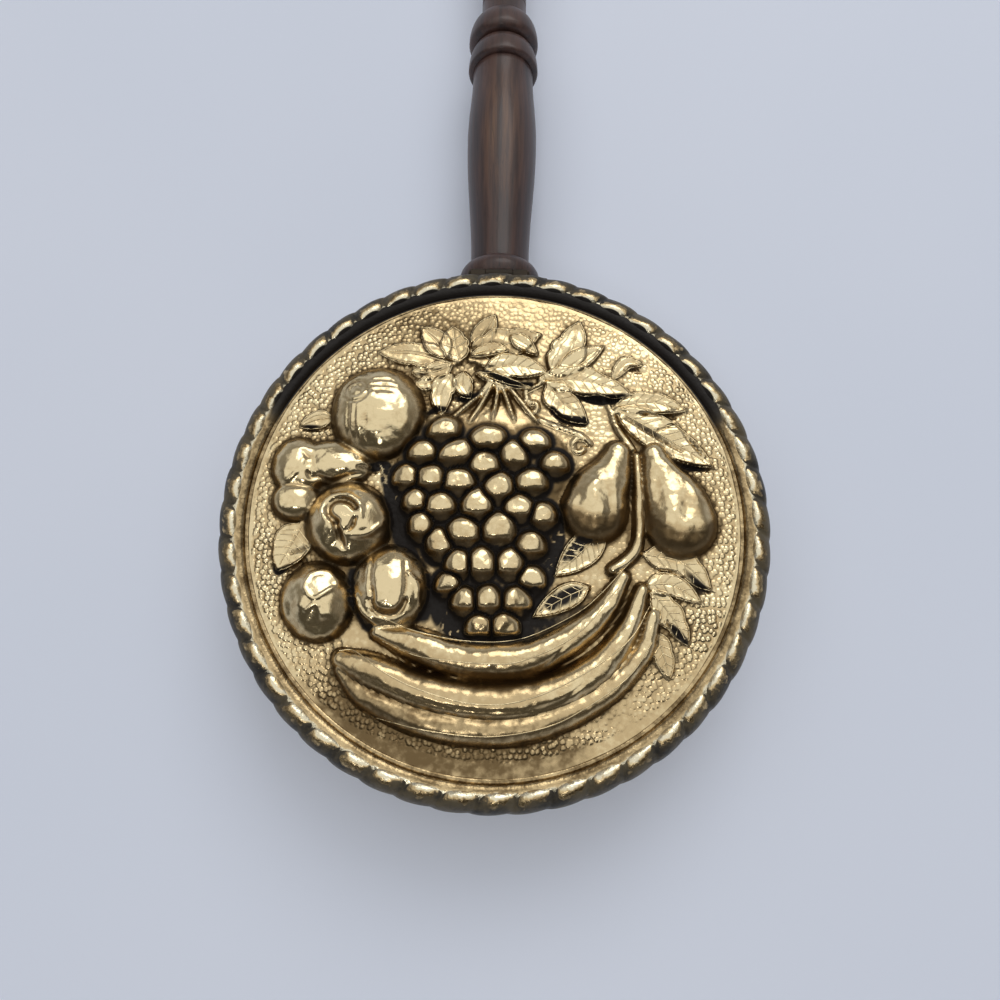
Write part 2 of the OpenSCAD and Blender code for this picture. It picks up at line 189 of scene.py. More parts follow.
# %% [markdown]
# ## Writing node trees as sums
#
# A material or a Geometry Nodes tree is a long sum in disguise. Instead of placing Math nodes by
# hand, the class below wraps a socket, so that `0.2 + 0.5 * mask` adds the nodes itself. Python's
# `+`, `*` and the rest also have a reflected form, which is what makes `1 - mask` work. `node` adds
# any other node: settings first, because some of them change which sockets the node has, then the
# values and links.

# %% Sockets that can be added and multiplied
class Sum:
    """A socket of a node tree that carries one number."""

    def __init__(self, tree, socket):
        self.tree = tree
        self.socket = socket

    def math(self, operation, *others):
        inputs = {0: self, **{i + 1: v for i, v in enumerate(others)}}
        return node(self.tree, "ShaderNodeMath", {"operation": operation}, inputs)

    def __add__(self, other):
        return self.math("ADD", other)

    def __radd__(self, other):
        return self.math("ADD", other)

    def __sub__(self, other):
        return self.math("SUBTRACT", other)

    def __rsub__(self, other):
        return number(self.tree, other).math("SUBTRACT", self)

    def __mul__(self, other):
        return self.math("MULTIPLY", other)

    def __rmul__(self, other):
        return self.math("MULTIPLY", other)

    def __truediv__(self, other):
        return self.math("DIVIDE", other)

    def __rtruediv__(self, other):
        return number(self.tree, other).math("DIVIDE", self)

    def __pow__(self, other):
        return self.math("POWER", other)

    def clamp(self):
        settings = {"operation": "ADD", "use_clamp": True}
        return node(self.tree, "ShaderNodeMath", settings, {0: self, 1: 0.0})

    def ramp(self, low, high):
        """0 at low, 1 at high, and a smooth step between them."""
        settings = {"interpolation_type": "SMOOTHSTEP"}
        inputs = {"Value": self, "From Min": low, "From Max": high}
        return node(self.tree, "ShaderNodeMapRange", settings, inputs, "Result")


def node(tree, kind, settings=None, inputs=None, output=0):
    """Adds a node, sets it, fills its sockets and returns the output asked for, wrapped."""
    made = tree.nodes.new(kind)
    for key, value in (settings or {}).items():
        setattr(made, key, value)
    for key, value in (inputs or {}).items():
        if isinstance(value, Sum):
            tree.links.new(value.socket, made.inputs[key])
        else:
            made.inputs[key].default_value = value
    return Sum(tree, made.outputs[output])


def number(tree, value):
    """A plain number as a socket, for the left side of a subtraction or division."""
    return node(tree, "ShaderNodeMath", {"operation": "ADD"}, {0: value, 1: 0.0})


# %% [markdown]
# ## Finishes
#
# Four things are polished or dulled by time here: the pressed lid, the plain sheet brass of the
# bowl, the small fittings, and the wood of the handle. Every finish reads Object coordinates, so it
# stays put when the lid opens, and only its colour, its roughness and its bump change from place to
# place.
#
# Old brass is never one colour. The crests are rubbed pale by polishing, the flats are a warmer
# gold, and polish residue and soot stay black in the hollows. So each brass finish mixes three
# colours by masks, and the masks come from noise and, on the lid, from attributes that are measured
# on the relief. The masks also paint light and shade: painted shade on the grapes' fronts, on steep
# sides, on the lower sides of the bananas and the pears, on the rope's far riser and on the hinge,
# and a painted highlight along the rope's worn crest.

# %% Helpers for a finish
def start_finish(name):
    """A new material with one shader, and the shader's tree."""
    material = bpy.data.materials.new(name)
    material.use_nodes = True
    tree = material.node_tree
    tree.nodes.clear()
    out = tree.nodes.new("ShaderNodeOutputMaterial")
    shader = tree.nodes.new("ShaderNodeBsdfPrincipled")
    tree.links.new(shader.outputs[0], out.inputs[0])
    return material, tree, shader


def feed(tree, shader, **sockets):
    """Links or sets the shader's sockets. Underscores stand for spaces."""
    for key, value in sockets.items():
        socket = shader.inputs[key.replace("_", " ")]
        if isinstance(value, Sum):
            tree.links.new(value.socket, socket)
        else:
            socket.default_value = value


def colour(red, green, blue):
    return (red, green, blue, 1.0)


def mixed(tree, factor, low, high):
    """A colour between two others."""
    return node(tree, "ShaderNodeMix", {"data_type": "RGBA"}, {0: factor, 6: low, 7: high}, 2)


def place_of(tree):
    return node(tree, "ShaderNodeTexCoord", {}, {}, "Object")


def parts_of(tree, vector):
    """The x, y and z of a vector."""
    split = node(tree, "ShaderNodeSeparateXYZ", {}, {0: vector})
    return [Sum(tree, o) for o in split.socket.node.outputs]


def stretched(tree, vector, scale):
    return node(tree, "ShaderNodeMapping", {}, {"Vector": vector, "Scale": scale})


def noise(tree, vector, scale, detail=3.0, roughness=0.55):
    inputs = {"Vector": vector, "Scale": scale, "Detail": detail, "Roughness": roughness}
    return node(tree, "ShaderNodeTexNoise", {}, inputs)


def attribute(tree, name):
    return node(tree, "ShaderNodeAttribute", {"attribute_name": name}, {}, "Fac")


def bump(tree, height, distance, strength=1.0, normal=None):
    inputs = {"Height": height, "Distance": distance * MM, "Strength": strength}
    if normal:
        inputs["Normal"] = normal
    return node(tree, "ShaderNodeBump", {}, inputs)


# %% Brass
PALE_BRASS = colour(0.76, 0.62, 0.37)
TAN_BRASS = colour(0.565, 0.426, 0.23)
BROWN_BRASS = colour(0.160, 0.108, 0.051)
# black for soot, and for painted shade on the grapes' fronts, the rope's far riser and the hinge
SOOT_AND_SHADE_BLACK = colour(0.012, 0.009, 0.007)
GRIME = colour(0.030, 0.027, 0.022)
VERDIGRIS = colour(0.115, 0.092, 0.055)
# a pale silvery brass for the rope's crest: partly wear, partly a painted highlight
CREST_WEAR_AND_HIGHLIGHT = colour(0.74, 0.67, 0.49)
PEBBLE = 2.1 * MM


def brass_shades(tree, tarnish_and_shade):
    """Pale where it is rubbed, tan where it is duller, brown where it is tarnished and where shade
    is painted.
    """
    metal = mixed(tree, tarnish_and_shade.ramp(0.0, 0.42), PALE_BRASS, TAN_BRASS)
    return mixed(tree, tarnish_and_shade.ramp(0.4, 1.0), metal, BROWN_BRASS)


def pebbles(tree, place):
    """Low round beads, about as far apart as PEBBLE: 1 on each bead's top and 0 in the seams."""
    far = node(tree, "ShaderNodeTexVoronoi", {"voronoi_dimensions": "2D"},
               {"Vector": place, "Scale": 1 / PEBBLE, "Randomness": 0.8}, "Distance")
    return 1 - (far * 1.7).clamp() ** 2


def lid_brass():
    """The pressed lid: its masks say where it is tarnished, sooted, punched and painted with shade.
    """
    material, tree, shader = start_finish("lid_brass")
    place = place_of(tree)
    # the tarnish and soot attributes also carry painted shade: the grapes' fronts, steep sides and
    # the lower sides of the bananas and the pears
    worn_less_and_shaded = attribute(tree, "tarnish_and_shade")
    sooted_and_shaded = attribute(tree, "soot_and_shade")
    punched = attribute(tree, "punched")
    beads = pebbles(tree, place)
    blotch = noise(tree, place, 45.0, 4.0)
    mottle = noise(tree, place, 210.0, 4.0, 0.6)
    grain = noise(tree, place, 420.0, 3.0)
    patches = 0.5 * (blotch - 0.5) + 0.7 * (mottle - 0.5) + 0.3 * (grain - 0.5)
    tarnish_and_shade = (worn_less_and_shaded + patches + punched * (0.35 - 0.6 * beads)).clamp()
    soot_and_shade = 1.1 * sooted_and_shaded + 0.5 * sooted_and_shaded * (grain - 0.5) + 0.3 * sooted_and_shaded * (blotch - 0.5)
    soot_and_shade = soot_and_shade.clamp().ramp(0.25, 0.8)
    feed(tree, shader, Base_Color=mixed(tree, soot_and_shade, brass_shades(tree, tarnish_and_shade), SOOT_AND_SHADE_BLACK),
         Metallic=1 - 0.9 * soot_and_shade,
         Roughness=(0.10 + 0.22 * tarnish_and_shade + 0.08 * grain + 0.3 * soot_and_shade).clamp(),
         Specular_IOR_Level=0.2,
         Normal=bump(tree, punched * beads, 0.45, normal=bump(tree, 2.5 * mottle + grain, 0.05)))
    return material


# where the crest's pale line runs, and its half width: partly wear, partly a painted highlight
CREST_R = border_c + 1.2
CREST_HALF = 1.9


def rope_brass():
    """The rope border: nearly black outside and in its notches, with painted shade on the far inner
    side.
    Its crest is pale from wear and from a painted highlight.
    """
    material, tree, shader = start_finish("rope_brass")
    place = place_of(tree)
    x, y, _ = parts_of(tree, place)
    reach = (x * x + y * y) ** 0.5 / MM
    groove = attribute(tree, "groove")
    blotch = noise(tree, place, 210.0, 4.0, 0.65)
    large = noise(tree, place, 55.0, 3.0)
    grain = noise(tree, place, 800.0, 3.0)
    outside = (reach + 8.0 * (blotch - 0.5)).ramp(border_c + 2.0, border_c + 6.4)
    notch = (0.85 * (groove + 0.7 * (blotch - 0.5)).ramp(0.2, 0.62)
             * reach.ramp(field_r + 1.5, field_r + 3.5))
    # painted shade: the rope's inner riser is blackened on the far side of the lid only
    far_side = (y / (reach * MM)).ramp(0.3, 0.5)
    far_riser_shade = (far_side * reach.ramp(field_r + 0.4, field_r + 1.1)
             * (1 - (reach + 2.4 * groove).ramp(border_c + 1.3, border_c + 2.1)))
    worn = 1.1 * (blotch - 0.52) * reach.ramp(field_r + 3, field_r + 5)
    verdigris = mixed(tree, (0.5 * large + 0.5 * blotch).ramp(0.38, 0.6), GRIME, VERDIGRIS)
    dullness_and_painted_light = 0.66 + 1.1 * (large - 0.45) + 1.2 * (blotch - 0.5) + 0.5 * (grain - 0.5)
    # the crest line, pale from wear and from a painted highlight
    off_crest = (reach + 5.0 * (blotch - 0.5) + 3.0 * (groove - 0.2) - CREST_R).math("ABSOLUTE")
    crest = (1 - off_crest / CREST_HALF).clamp()
    dullness_and_painted_light = (dullness_and_painted_light - 0.8 * crest).clamp()
    metal = mixed(tree, crest.ramp(0.35, 0.8), brass_shades(tree, dullness_and_painted_light), CREST_WEAR_AND_HIGHLIGHT)
    # this mask also carries the painted shade of the far riser
    soot_and_shade = (outside + notch + far_riser_shade + worn - 0.35 * crest).clamp().ramp(0.25, 0.75)
    feed(tree, shader, Base_Color=mixed(tree, soot_and_shade, metal, mixed(tree, far_riser_shade, verdigris, SOOT_AND_SHADE_BLACK)),
         Metallic=1 - 0.75 * soot_and_shade, Roughness=(0.16 + 0.12 * grain + 0.22 * soot_and_shade).clamp(),
         Specular_IOR_Level=0.3, Normal=bump(tree, 0.6 * blotch + 0.4 * grain, 0.45))
    return material


def sheet_brass(name, dullness_and_painted_light, dark_patina_and_shade=0.0):
    """Plain brass: fine spinning lines, a little tarnishing and, where asked, dark patina with
    painted shade.
    """
    material, tree, shader = start_finish(name)
    place = place_of(tree)
    blotch = noise(tree, place, 30.0, 4.0)
    grain = noise(tree, place, 500.0, 2.0)
    lines = noise(tree, stretched(tree, place, (0.02, 0.02, 1.0)), 1500.0, 2.0)
    tarnish_and_shade = (dullness_and_painted_light + 0.7 * (blotch - 0.5) + 0.25 * (grain - 0.5)).clamp()
    soot_and_shade = (dark_patina_and_shade * (0.7 + 0.7 * blotch)).clamp()
    feed(tree, shader, Base_Color=mixed(tree, soot_and_shade, brass_shades(tree, tarnish_and_shade), SOOT_AND_SHADE_BLACK),
         Metallic=1 - 0.6 * soot_and_shade,
         Roughness=(0.2 + 0.2 * tarnish_and_shade + 0.12 * grain + 0.2 * soot_and_shade).clamp(),
         Normal=bump(tree, lines + 0.3 * grain, 0.03))
    return material


ZINC = colour(0.62, 0.62, 0.6)
DULL_ZINC = colour(0.38, 0.36, 0.33)


def zinc_steel():
    """Zinc-plated steel of the bolt, the studs and the rim's wire."""
    material, tree, shader = start_finish("zinc_steel")
    place = place_of(tree)
    grain = noise(tree, place, 350.0, 4.0)
    blotch = noise(tree, place, 60.0, 3.0)
    feed(tree, shader, Base_Color=mixed(tree, blotch.ramp(0.4, 0.7), ZINC, DULL_ZINC),
         Metallic=1.0, Roughness=(0.25 + 0.25 * grain).clamp(), Normal=bump(tree, grain, 0.03))
    return material


# %% Wood
DARK_GRAIN = colour(0.024, 0.014, 0.013)
BROWN_GRAIN = colour(0.075, 0.036, 0.027)
RUBBED_AND_LIT_WOOD = colour(0.27, 0.14, 0.065)
OPEN_PORE = colour(0.008, 0.006, 0.005)
# the middle and the half sizes, in millimetres, of the strip on the barrel that is made lighter:
# partly where hands have rubbed it, partly painted light along the barrel's top
RUBBED_AND_LIT_Y, RUBBED_AND_LIT_LONG, RUBBED_AND_LIT_WIDE = 192.0, 46.0, 13.0


def walnut():
    """Dark stained wood under a satin lacquer. The grain runs along the handle."""
    material, tree, shader = start_finish("dark_walnut")
    place = place_of(tree)
    along = stretched(tree, place, (1.0, 0.045, 1.0))
    figure = noise(tree, along, 95.0, 4.0, 0.6)
    streak = noise(tree, along, 420.0, 3.0, 0.6)
    pore = noise(tree, stretched(tree, place, (1.0, 0.03, 1.0)), 1500.0, 2.0)
    wear = noise(tree, place, 16.0, 3.0)
    x, y, _ = parts_of(tree, place)
    tint = mixed(tree, (0.6 * figure + 0.4 * streak).ramp(0.34, 0.62), DARK_GRAIN, BROWN_GRAIN)
    # painted light and wear: a strip down the barrel's middle, where light falls on its top, is
    # made lighter
    rubbed_and_lit_top = (1 - (y / MM - RUBBED_AND_LIT_Y).math("ABSOLUTE") / RUBBED_AND_LIT_LONG).clamp()
    rubbed_and_lit_top = rubbed_and_lit_top * (1 - (x / MM).math("ABSOLUTE") / RUBBED_AND_LIT_WIDE).clamp()
    rubbed = ((0.5 * wear.ramp(0.5, 0.72) + rubbed_and_lit_top).clamp()
              * (0.5 * streak + 0.5 * figure).ramp(0.42, 0.66))
    tint = mixed(tree, 0.6 * rubbed * (0.6 + 0.8 * pore), tint, RUBBED_AND_LIT_WOOD)
    tint = mixed(tree, pore.ramp(0.62, 0.75) * 0.7, tint, OPEN_PORE)
    feed(tree, shader, Base_Color=tint, Roughness=(0.42 + 0.18 * streak - 0.1 * wear).clamp(),
         Coat_Weight=0.22, Coat_Roughness=0.12, Specular_IOR_Level=0.42,
         Normal=bump(tree, 0.7 * streak - 0.5 * pore, 0.10))
    return material


# %% [markdown]
# ## The pressed picture: a height at every point
#
# The lid was pressed between two steel dies, so the picture on it is one sheet that rises and falls
# and never folds back. Such a relief can be sculpted by hand, or joined from separate fruits, but
# then the leaves' veins and the pebbled ground have nothing to lie on. A height field suits it
# best: a square raster of heights in millimetres, to which each fruit, leaf and stem is added by a
# small function, as a die cutter works from the big forms to the fine marks. Later the raster gives
# the sheet its shape, and its dirt and painted shade their place.

# %% The raster
PITCH = 0.25
FIELD_MARGIN = 1.0
half = field_r + FIELD_MARGIN
n_px = int(round(2 * half / PITCH)) + 1
axis = np.linspace(-half, half, n_px)
X, Y = np.meshgrid(axis, axis)
print(f"raster of {n_px} by {n_px} heights, {PITCH} mm apart")

# %% [markdown]
# Places on the relief are read off the photograph, and the camera stood close above the lid. A
# fruit that is 10 mm high then looks as if it lay further out than it does. `seen` puts a place
# back under the height that it has. The picture is also turned a little against the handle.

# %% Where a seen point really is
PICTURE_TURN = 0.9
CAMERA_FOOT = (2.16, -63.6)
CAMERA_RISE = 286.1


def seen(x, y, height):
    """The place in plan of a point that looks as if it lay at (x, y) on the field."""
    k = 1 - height / CAMERA_RISE
    return CAMERA_FOOT[0] + (x - CAMERA_FOOT[0]) * k, CAMERA_FOOT[1] + (y - CAMERA_FOOT[1]) * k


# %% Soft noise and blur
def cloud(size, seed, octaves=3):
    """Noise from 0 to 1 whose forms have the given size."""
    rng = np.random.default_rng(seed)
    total, norm = np.zeros(X.shape), 0.0
    for octave in range(octaves):
        cell = size / 2 ** octave
        count = int(2 * half / cell) + 4
        grid = rng.random((count, count))
        gx, gy = (X + half) / cell, (Y + half) / cell
        ix, iy = gx.astype(int), gy.astype(int)
        fx, fy = gx - ix, gy - iy
        fx, fy = fx * fx * (3 - 2 * fx), fy * fy * (3 - 2 * fy)
        low = grid[iy, ix] * (1 - fx) + grid[iy, ix + 1] * fx
        high = grid[iy + 1, ix] * (1 - fx) + grid[iy + 1, ix + 1] * fx
        total += (low * (1 - fy) + high * fy) / 2 ** octave
        norm += 1 / 2 ** octave
    return total / norm


def blurred(raster, radius):
    """A Gaussian blur, made in the frequency domain so that any radius costs the same."""
    f = np.fft.fftfreq(n_px, PITCH)
    keep = np.exp(-2 * (math.pi * radius) ** 2 * (f[:, None] ** 2 + f[None, :] ** 2))
    return np.real(np.fft.ifft2(np.fft.fft2(raster) * keep))


def spot(x, y, rx, ry, turn=0.0, soft=0.35):
    """A soft-edged oval mask from 0 to 1."""
    u, v = turned(X - x, Y - y, turn)
    return np.clip((1 + soft - np.hypot(u / rx, v / ry)) / (2 * soft), 0, 1)


def turned(dx, dy, angle):
    """Offsets along axes that are turned by an angle in degrees."""
    c, s = math.cos(math.radians(angle)), math.sin(math.radians(angle))
    return dx * c + dy * s, dy * c - dx * s


# %% [markdown]
# Three forms make the whole picture. A **dome** is a fruit, a **ridge** is anything long, from a
# banana to a tendril, and a **groove** is a cut. Ridges and grooves follow a smooth curve through a
# few points, and each point also carries the half width and the height there, so a pear is just a
# short ridge with a thin end.

# %% Laying a form on the field
def window(xs, ys, margin):
    """The part of the raster round some points, as two slices."""
    slices = []
    for places in (ys, xs):
        ends = (np.array([min(places) - margin, max(places) + margin]) + half) / PITCH
        slices.append(slice(*np.clip(ends.astype(int) + [0, 2], 0, n_px)))
    return tuple(slices)


def lay(H, w, new, blend):
    """Lays a form over what is there, with a small fillet where they meet."""
    old = H[w]
    soft = np.clip(1 - np.abs(old - new) / blend, 0, 1) ** 2 * blend / 4
    H[w] = np.where(new > 0, np.maximum(old, new) + soft * np.clip(new / blend, 0, 1), old)


def dome(H, x, y, rx, ry, turn, height, boxy=2.3, blend=0.6, side=0.5):
    """An oval fruit. A larger boxy gives a flatter top, and a larger side gives a gentler slope."""
    cx, cy = seen(x, y, 0.5 * height)
    w = window([cx], [cy], max(rx, ry))
    u, v = turned(X[w] - cx, Y[w] - cy, turn)
    reach = np.clip(np.hypot(u / rx, v / ry), 0, 1)
    lay(H, w, height * (1 - reach ** boxy) ** side, blend)


# %% Forms along a curve
def smooth_path(points, n):
    """A Catmull-Rom curve through points of any number of columns, as n rows."""
    p = np.array(points, float)
    p = np.vstack([2 * p[0] - p[1], p, 2 * p[-1] - p[-2]])
    t = np.linspace(0, len(p) - 3 - 1e-9, n)
    i = t.astype(int)
    f = (t - i)[:, None]
    a, b, c, d = p[i], p[i + 1], p[i + 2], p[i + 3]
    return (0.5 * (2 * b + (c - a) * f + (2 * a - 5 * b + 4 * c - d) * f ** 2
                   + (3 * b - a - 3 * c + d) * f ** 3))


def along(path, w):
    """For each place: its distance to the path, its side, how far along, and the other columns."""
    best = np.full(X[w].shape, 1e9)
    side, share = np.ones(best.shape), np.zeros(best.shape)
    rest = [np.zeros(best.shape) for _ in range(path.shape[1] - 2)]
    for k, (p, q) in enumerate(zip(path[:-1], path[1:])):
        ex, ey = q[0] - p[0], q[1] - p[1]
        t = np.clip(((X[w] - p[0]) * ex + (Y[w] - p[1]) * ey) / (ex * ex + ey * ey + 1e-12), 0, 1)
        dx, dy = X[w] - p[0] - t * ex, Y[w] - p[1] - t * ey
        far = np.hypot(dx, dy)
        near = far < best
        best = np.where(near, far, best)
        side = np.where(near, np.where(ex * dy < ey * dx, -1.0, 1.0), side)
        share = np.where(near, (k + t) / (len(path) - 1), share)
        for c, values in enumerate(rest):
            values[near] = (p[c + 2] + t * (q[c + 2] - p[c + 2]))[near]
    return best, side, share, rest


def ridge(H, points, n=24, roundness=2.0, blend=0.4, side=0.5):
    """A raised cord, stem or fruit along points of (x, y, half width, height)."""
    path = smooth_path(points, n)
    for row in path:
        row[:2] = seen(row[0], row[1], 0.5 * row[3])
    w = window(path[:, 0], path[:, 1], path[:, 2].max() + 0.5)
    far, _, _, (half_w, height) = along(path, w)
    reach = np.clip(far / np.maximum(half_w, 0.05), 0, 1)
    lay(H, w, height * (1 - reach ** roundness) ** side, blend)


def groove(H, points, n=12, sharp=1.5):
    """A cut along points of (x, y, half width, depth). A negative depth raises a welt."""
    path = smooth_path(points, n)
    for row in path:
        row[:2] = seen(row[0], row[1], height_at(H, row[0], row[1]))
    w = window(path[:, 0], path[:, 1], path[:, 2].max() + 0.5)
    far, _, _, (half_w, depth) = along(path, w)
    H[w] -= depth * np.clip(1 - (far / np.maximum(half_w, 0.05)) ** sharp, 0, 1)


def height_at(H, x, y):
    return float(H[int((y + half) / PITCH), int((x + half) / PITCH)])


def dent(H, x, y, rx, ry, depth):
    """A soft hollow, or with a negative depth a soft swelling."""
    cx, cy = seen(x, y, height_at(H, x, y))
    w = window([cx], [cy], 2.5 * max(rx, ry))
    H[w] -= depth * np.exp(-((X[w] - cx) / rx) ** 2 - ((Y[w] - cy) / ry) ** 2)


# %% [markdown]
# ### Leaves, stems and tendrils
#
# Each leaf is a thin raised shape round a curved rib. Its edge stands up like a wire, with a fine
# cut round the outside that later holds the dirt, and inside it either side veins leave the rib at
# a slant or a few strokes run along it. A leaf that is laid later covers the ones below, as the die
# cutter meant it.

# %% One leaf
EDGE_WIRE = 0.85
VEIN_W = 0.75
LINE_STEPS = 41
LINE_INSET = 0.35
chased = []


def leaf_edge(share, width, teeth):
    """Half the leaf's width, from its foot to its tip."""
    outline = np.sin(np.pi * np.clip(share, 0.02, 0.98) ** 0.8) ** 0.7
    if teeth:
        outline = outline * (0.86 + 0.2 * np.abs(np.sin(np.pi * teeth * share)) ** 0.7)
    return np.maximum(width * outline, 1e-3)


def chase_leaf(path, width, veins, strokes, teeth):
    """The fine raised lines of a leaf: its edge, its rib and its veins."""
    share = np.linspace(0, 1, LINE_STEPS)
    x, y = (np.interp(share, np.linspace(0, 1, len(path)), path[:, c]) for c in (0, 1))
    across = np.stack([-np.gradient(y), np.gradient(x)], 1)
    across /= np.linalg.norm(across, axis=1)[:, None]
    middle, edge = np.stack([x, y], 1), (leaf_edge(share, width, teeth) - LINE_INSET)[:, None]
    lines = [middle[1:-4], np.vstack([middle + across * edge, (middle - across * edge)[::-1]])]
    for k in range(strokes):
        lines.append((middle + across * edge * (k + 0.5) / strokes * (1 if k % 2 else -1))[4:-6])
    for k in range(veins):
        start, end = int(6 + 28 * k / veins), int(12 + 26 * k / veins)
        out = 0.85 * across[end] * edge[end]
        lines += [np.stack([middle[start], middle[end] + side * out]) for side in (-1, 1)]
    return lines


def leaf(H, rib, width, height, veins=5, strokes=0, teeth=0):
    """A leaf along a rib of (x, y) points, as wide as 2 * width at its widest."""
    path = smooth_path([(*seen(x, y, height),) for x, y in rib], 20)
    w = window(path[:, 0], path[:, 1], width + 2)
    far, _, share, _ = along(path, w)
    to_edge = leaf_edge(share, width, teeth) - far
    wire = 0.25 * height * np.exp(-((to_edge - 0.55) / EDGE_WIRE) ** 2)
    cut = 0.35 * np.exp(-((to_edge + 0.55) / EDGE_WIRE) ** 2)
    body = (height * 0.72 * np.clip(to_edge / 0.8, 0, 1) ** 0.5 + wire
            - 0.3 * np.clip(1 - far / VEIN_W, 0, 1))
    old = H[w]
    H[w] = np.where(to_edge > 0, np.maximum(0.3 * old + body, 0.6 * old),
                    old - cut * (far < 2 * width))
    owner[w] = np.where(to_edge > 0, len(chased), owner[w])
    chased.append(chase_leaf(path, width, veins, strokes, teeth))


owner = np.full(X.shape, -1)

# %% The leaves of the picture, from the back to the front
# each row is a rib, half the width, the height, and how many veins, strokes and teeth it has
LEAVES = (
    # the spray at the top
    ([(-17, 67), (-33, 71), (-49, 72)], 5.8, 1.9, 0, 2, 2),
    ([(-20, 70), (-25, 77), (-31, 83)], 5.6, 2.2, 0, 2, 0),
    ([(-15, 68), (-17, 76), (-18, 84)], 6.0, 2.4, 3, 0, 3),
    ([(-9, 75), (-4, 82), (0, 89)], 4.8, 2.0, 0, 1, 0),
    ([(-10, 69), (3, 75), (19, 80)], 8.0, 2.0, 4, 0, 3),
    ([(-10, 70.5), (-1, 73.5), (6, 73)], 2.9, 2.8, 0, 1, 0),
    ([(7, 79), (12, 76), (18, 71)], 3.6, 2.6, 0, 1, 0),
    ([(24, 63), (31, 73), (36, 86)], 7.4, 2.6, 0, 3, 3),
    ([(26, 62), (36, 69), (46, 75)], 4.4, 2.6, 0, 1, 0),
    ([(-18, 66), (-26, 63), (-35, 63)], 4.0, 1.9, 0, 1, 2),
    ([(-25, 60), (-29, 58), (-33, 58)], 3.2, 2.2, 0, 0, 0),
    ([(-4, 64), (8, 66), (22, 63)], 5.6, 2.6, 5, 0, 2),
    ([(-8, 63), (3, 59), (16, 56)], 2.4, 3.0, 0, 0, 0),
    ([(-18, 62), (-22, 54), (-22, 44)], 5.0, 2.6, 0, 1, 2),
    ([(-13, 63), (-13, 57), (-10, 52)], 4.2, 2.9, 0, 1, 2),
    ([(19, 60), (38, 59), (57, 53)], 6.2, 2.5, 7, 0, 3),
    ([(22, 58), (28, 50), (38, 41)], 6.2, 2.4, 5, 0, 2),
    ([(49, 60), (55, 67), (62, 66)], 3.0, 1.5, 0, 1, 0),
    ([(50, 48), (64, 49.5), (79, 46)], 5.0, 2.0, 5, 0, 2),
    ([(51, 46), (70, 34), (88, 22)], 7.6, 2.4, 7, 0, 0),
    # at the left edge
    ([(-76, -2), (-80, -10), (-85, -20)], 7.6, 2.0, 5, 0, 0),
    ([(-67, 43), (-73, 42), (-80, 39)], 4.0, 1.8, 0, 1, 0),
    # between the grapes and the pears
    ([(43, -5), (34, -13), (24, -22)], 6.6, 2.4, 6, 0, 0),
    ([(36, -27), (26, -31.5), (15, -38)], 5.0, 2.2, 4, 0, 0),
    # at the lower right
    ([(59, -14), (73, -17), (84, -28)], 6.0, 2.0, 5, 0, 3),
    ([(59, -26), (69, -26), (80, -33)], 4.6, 2.0, 4, 0, 2),
    ([(61, -29), (68, -38), (74, -49)], 5.2, 2.2, 5, 0, 3),
    ([(61, -44), (64, -52), (66, -62)], 4.2, 1.9, 4, 0, 2))


def lay_leaves(H):
    for row in LEAVES:
        leaf(H, *row)


# %% Stems that run into the grapes, and curled tendrils
def curl(x, y, radius, turns, start, thick, height):
    """Points of a tendril that winds in on (x, y)."""
    steps = [i / 8 for i in range(9)]
    angles = [math.radians(start + 360 * turns * t) for t in steps]
    return [(x + radius * (1 - 0.6 * t) * math.cos(a), y + radius * (1 - 0.6 * t) * math.sin(a),
             thick, height) for t, a in zip(steps, angles)]


TENDRILS = (
    [(3, 60, 1.5, 1.7), (10, 50, 1.5, 1.6), (16, 43, 1.4, 1.5), (27, 38, 1.4, 1.4),
     (35, 35, 1.4, 1.4)] + curl(34.5, 30, 4.4, 0.9, 15, 1.3, 1.3),
    [(20, 58, 1.3, 1.5), (13, 54, 1.3, 1.5)] + curl(15.3, 47.6, 3.8, 1.0, 120, 1.3, 1.4))


def lay_stems(H):
    for foot_x, bend_x in ((-19, -6), (-10, -3), (-1, 1), (8, 4), (17, 8)):
        ridge(H, [(0, 62, 1.2, 2.4), (bend_x, 53, 1.4, 2.6), (foot_x, 41, 1.3, 2.8)], roundness=1.7)
    for tendril in TENDRILS:
        ridge(H, tendril, n=50, roundness=1.6, side=0.8)
    ridge(H, [(42, 55, 1.2, 1.4), (47, 47, 1.3, 1.6), (50, 38, 1.4, 1.8), (56, 29, 1.4, 2.0)])


# %% [markdown]
# ### Fruit
#
# The apples, the pomegranate and the pears are plain smooth swellings, and polished metal shows
# every dent in them as a kink in its highlights. So the big forms come first, and slow dents are
# added after them. The bananas are ridges with a flat on top, whose edges catch the light as long
# thin lines.

# %% Apples, pomegranate, pears and bananas
# where it is seen, half widths, lean, height and how flat its top is
ROUND_FRUIT = (
    (-79, 22.5, 11.6, 12.4, 10, 6.6, 2.3), (-64.5, 24, 15.0, 9.8, -8, 6.8, 2.3),
    (-79.5, 8, 10.0, 8.4, 0, 6.2, 2.3), (-48.5, 46, 19.4, 20.2, 0, 10.6, 2.5),
    (-58.5, -0.5, 17.2, 16.8, -20, 10.8, 2.4), (-69.3, -32, 14.2, 15.8, 15, 9.2, 2.3),
    (-41, -27, 15.2, 17.4, 0, 9.6, 2.3))
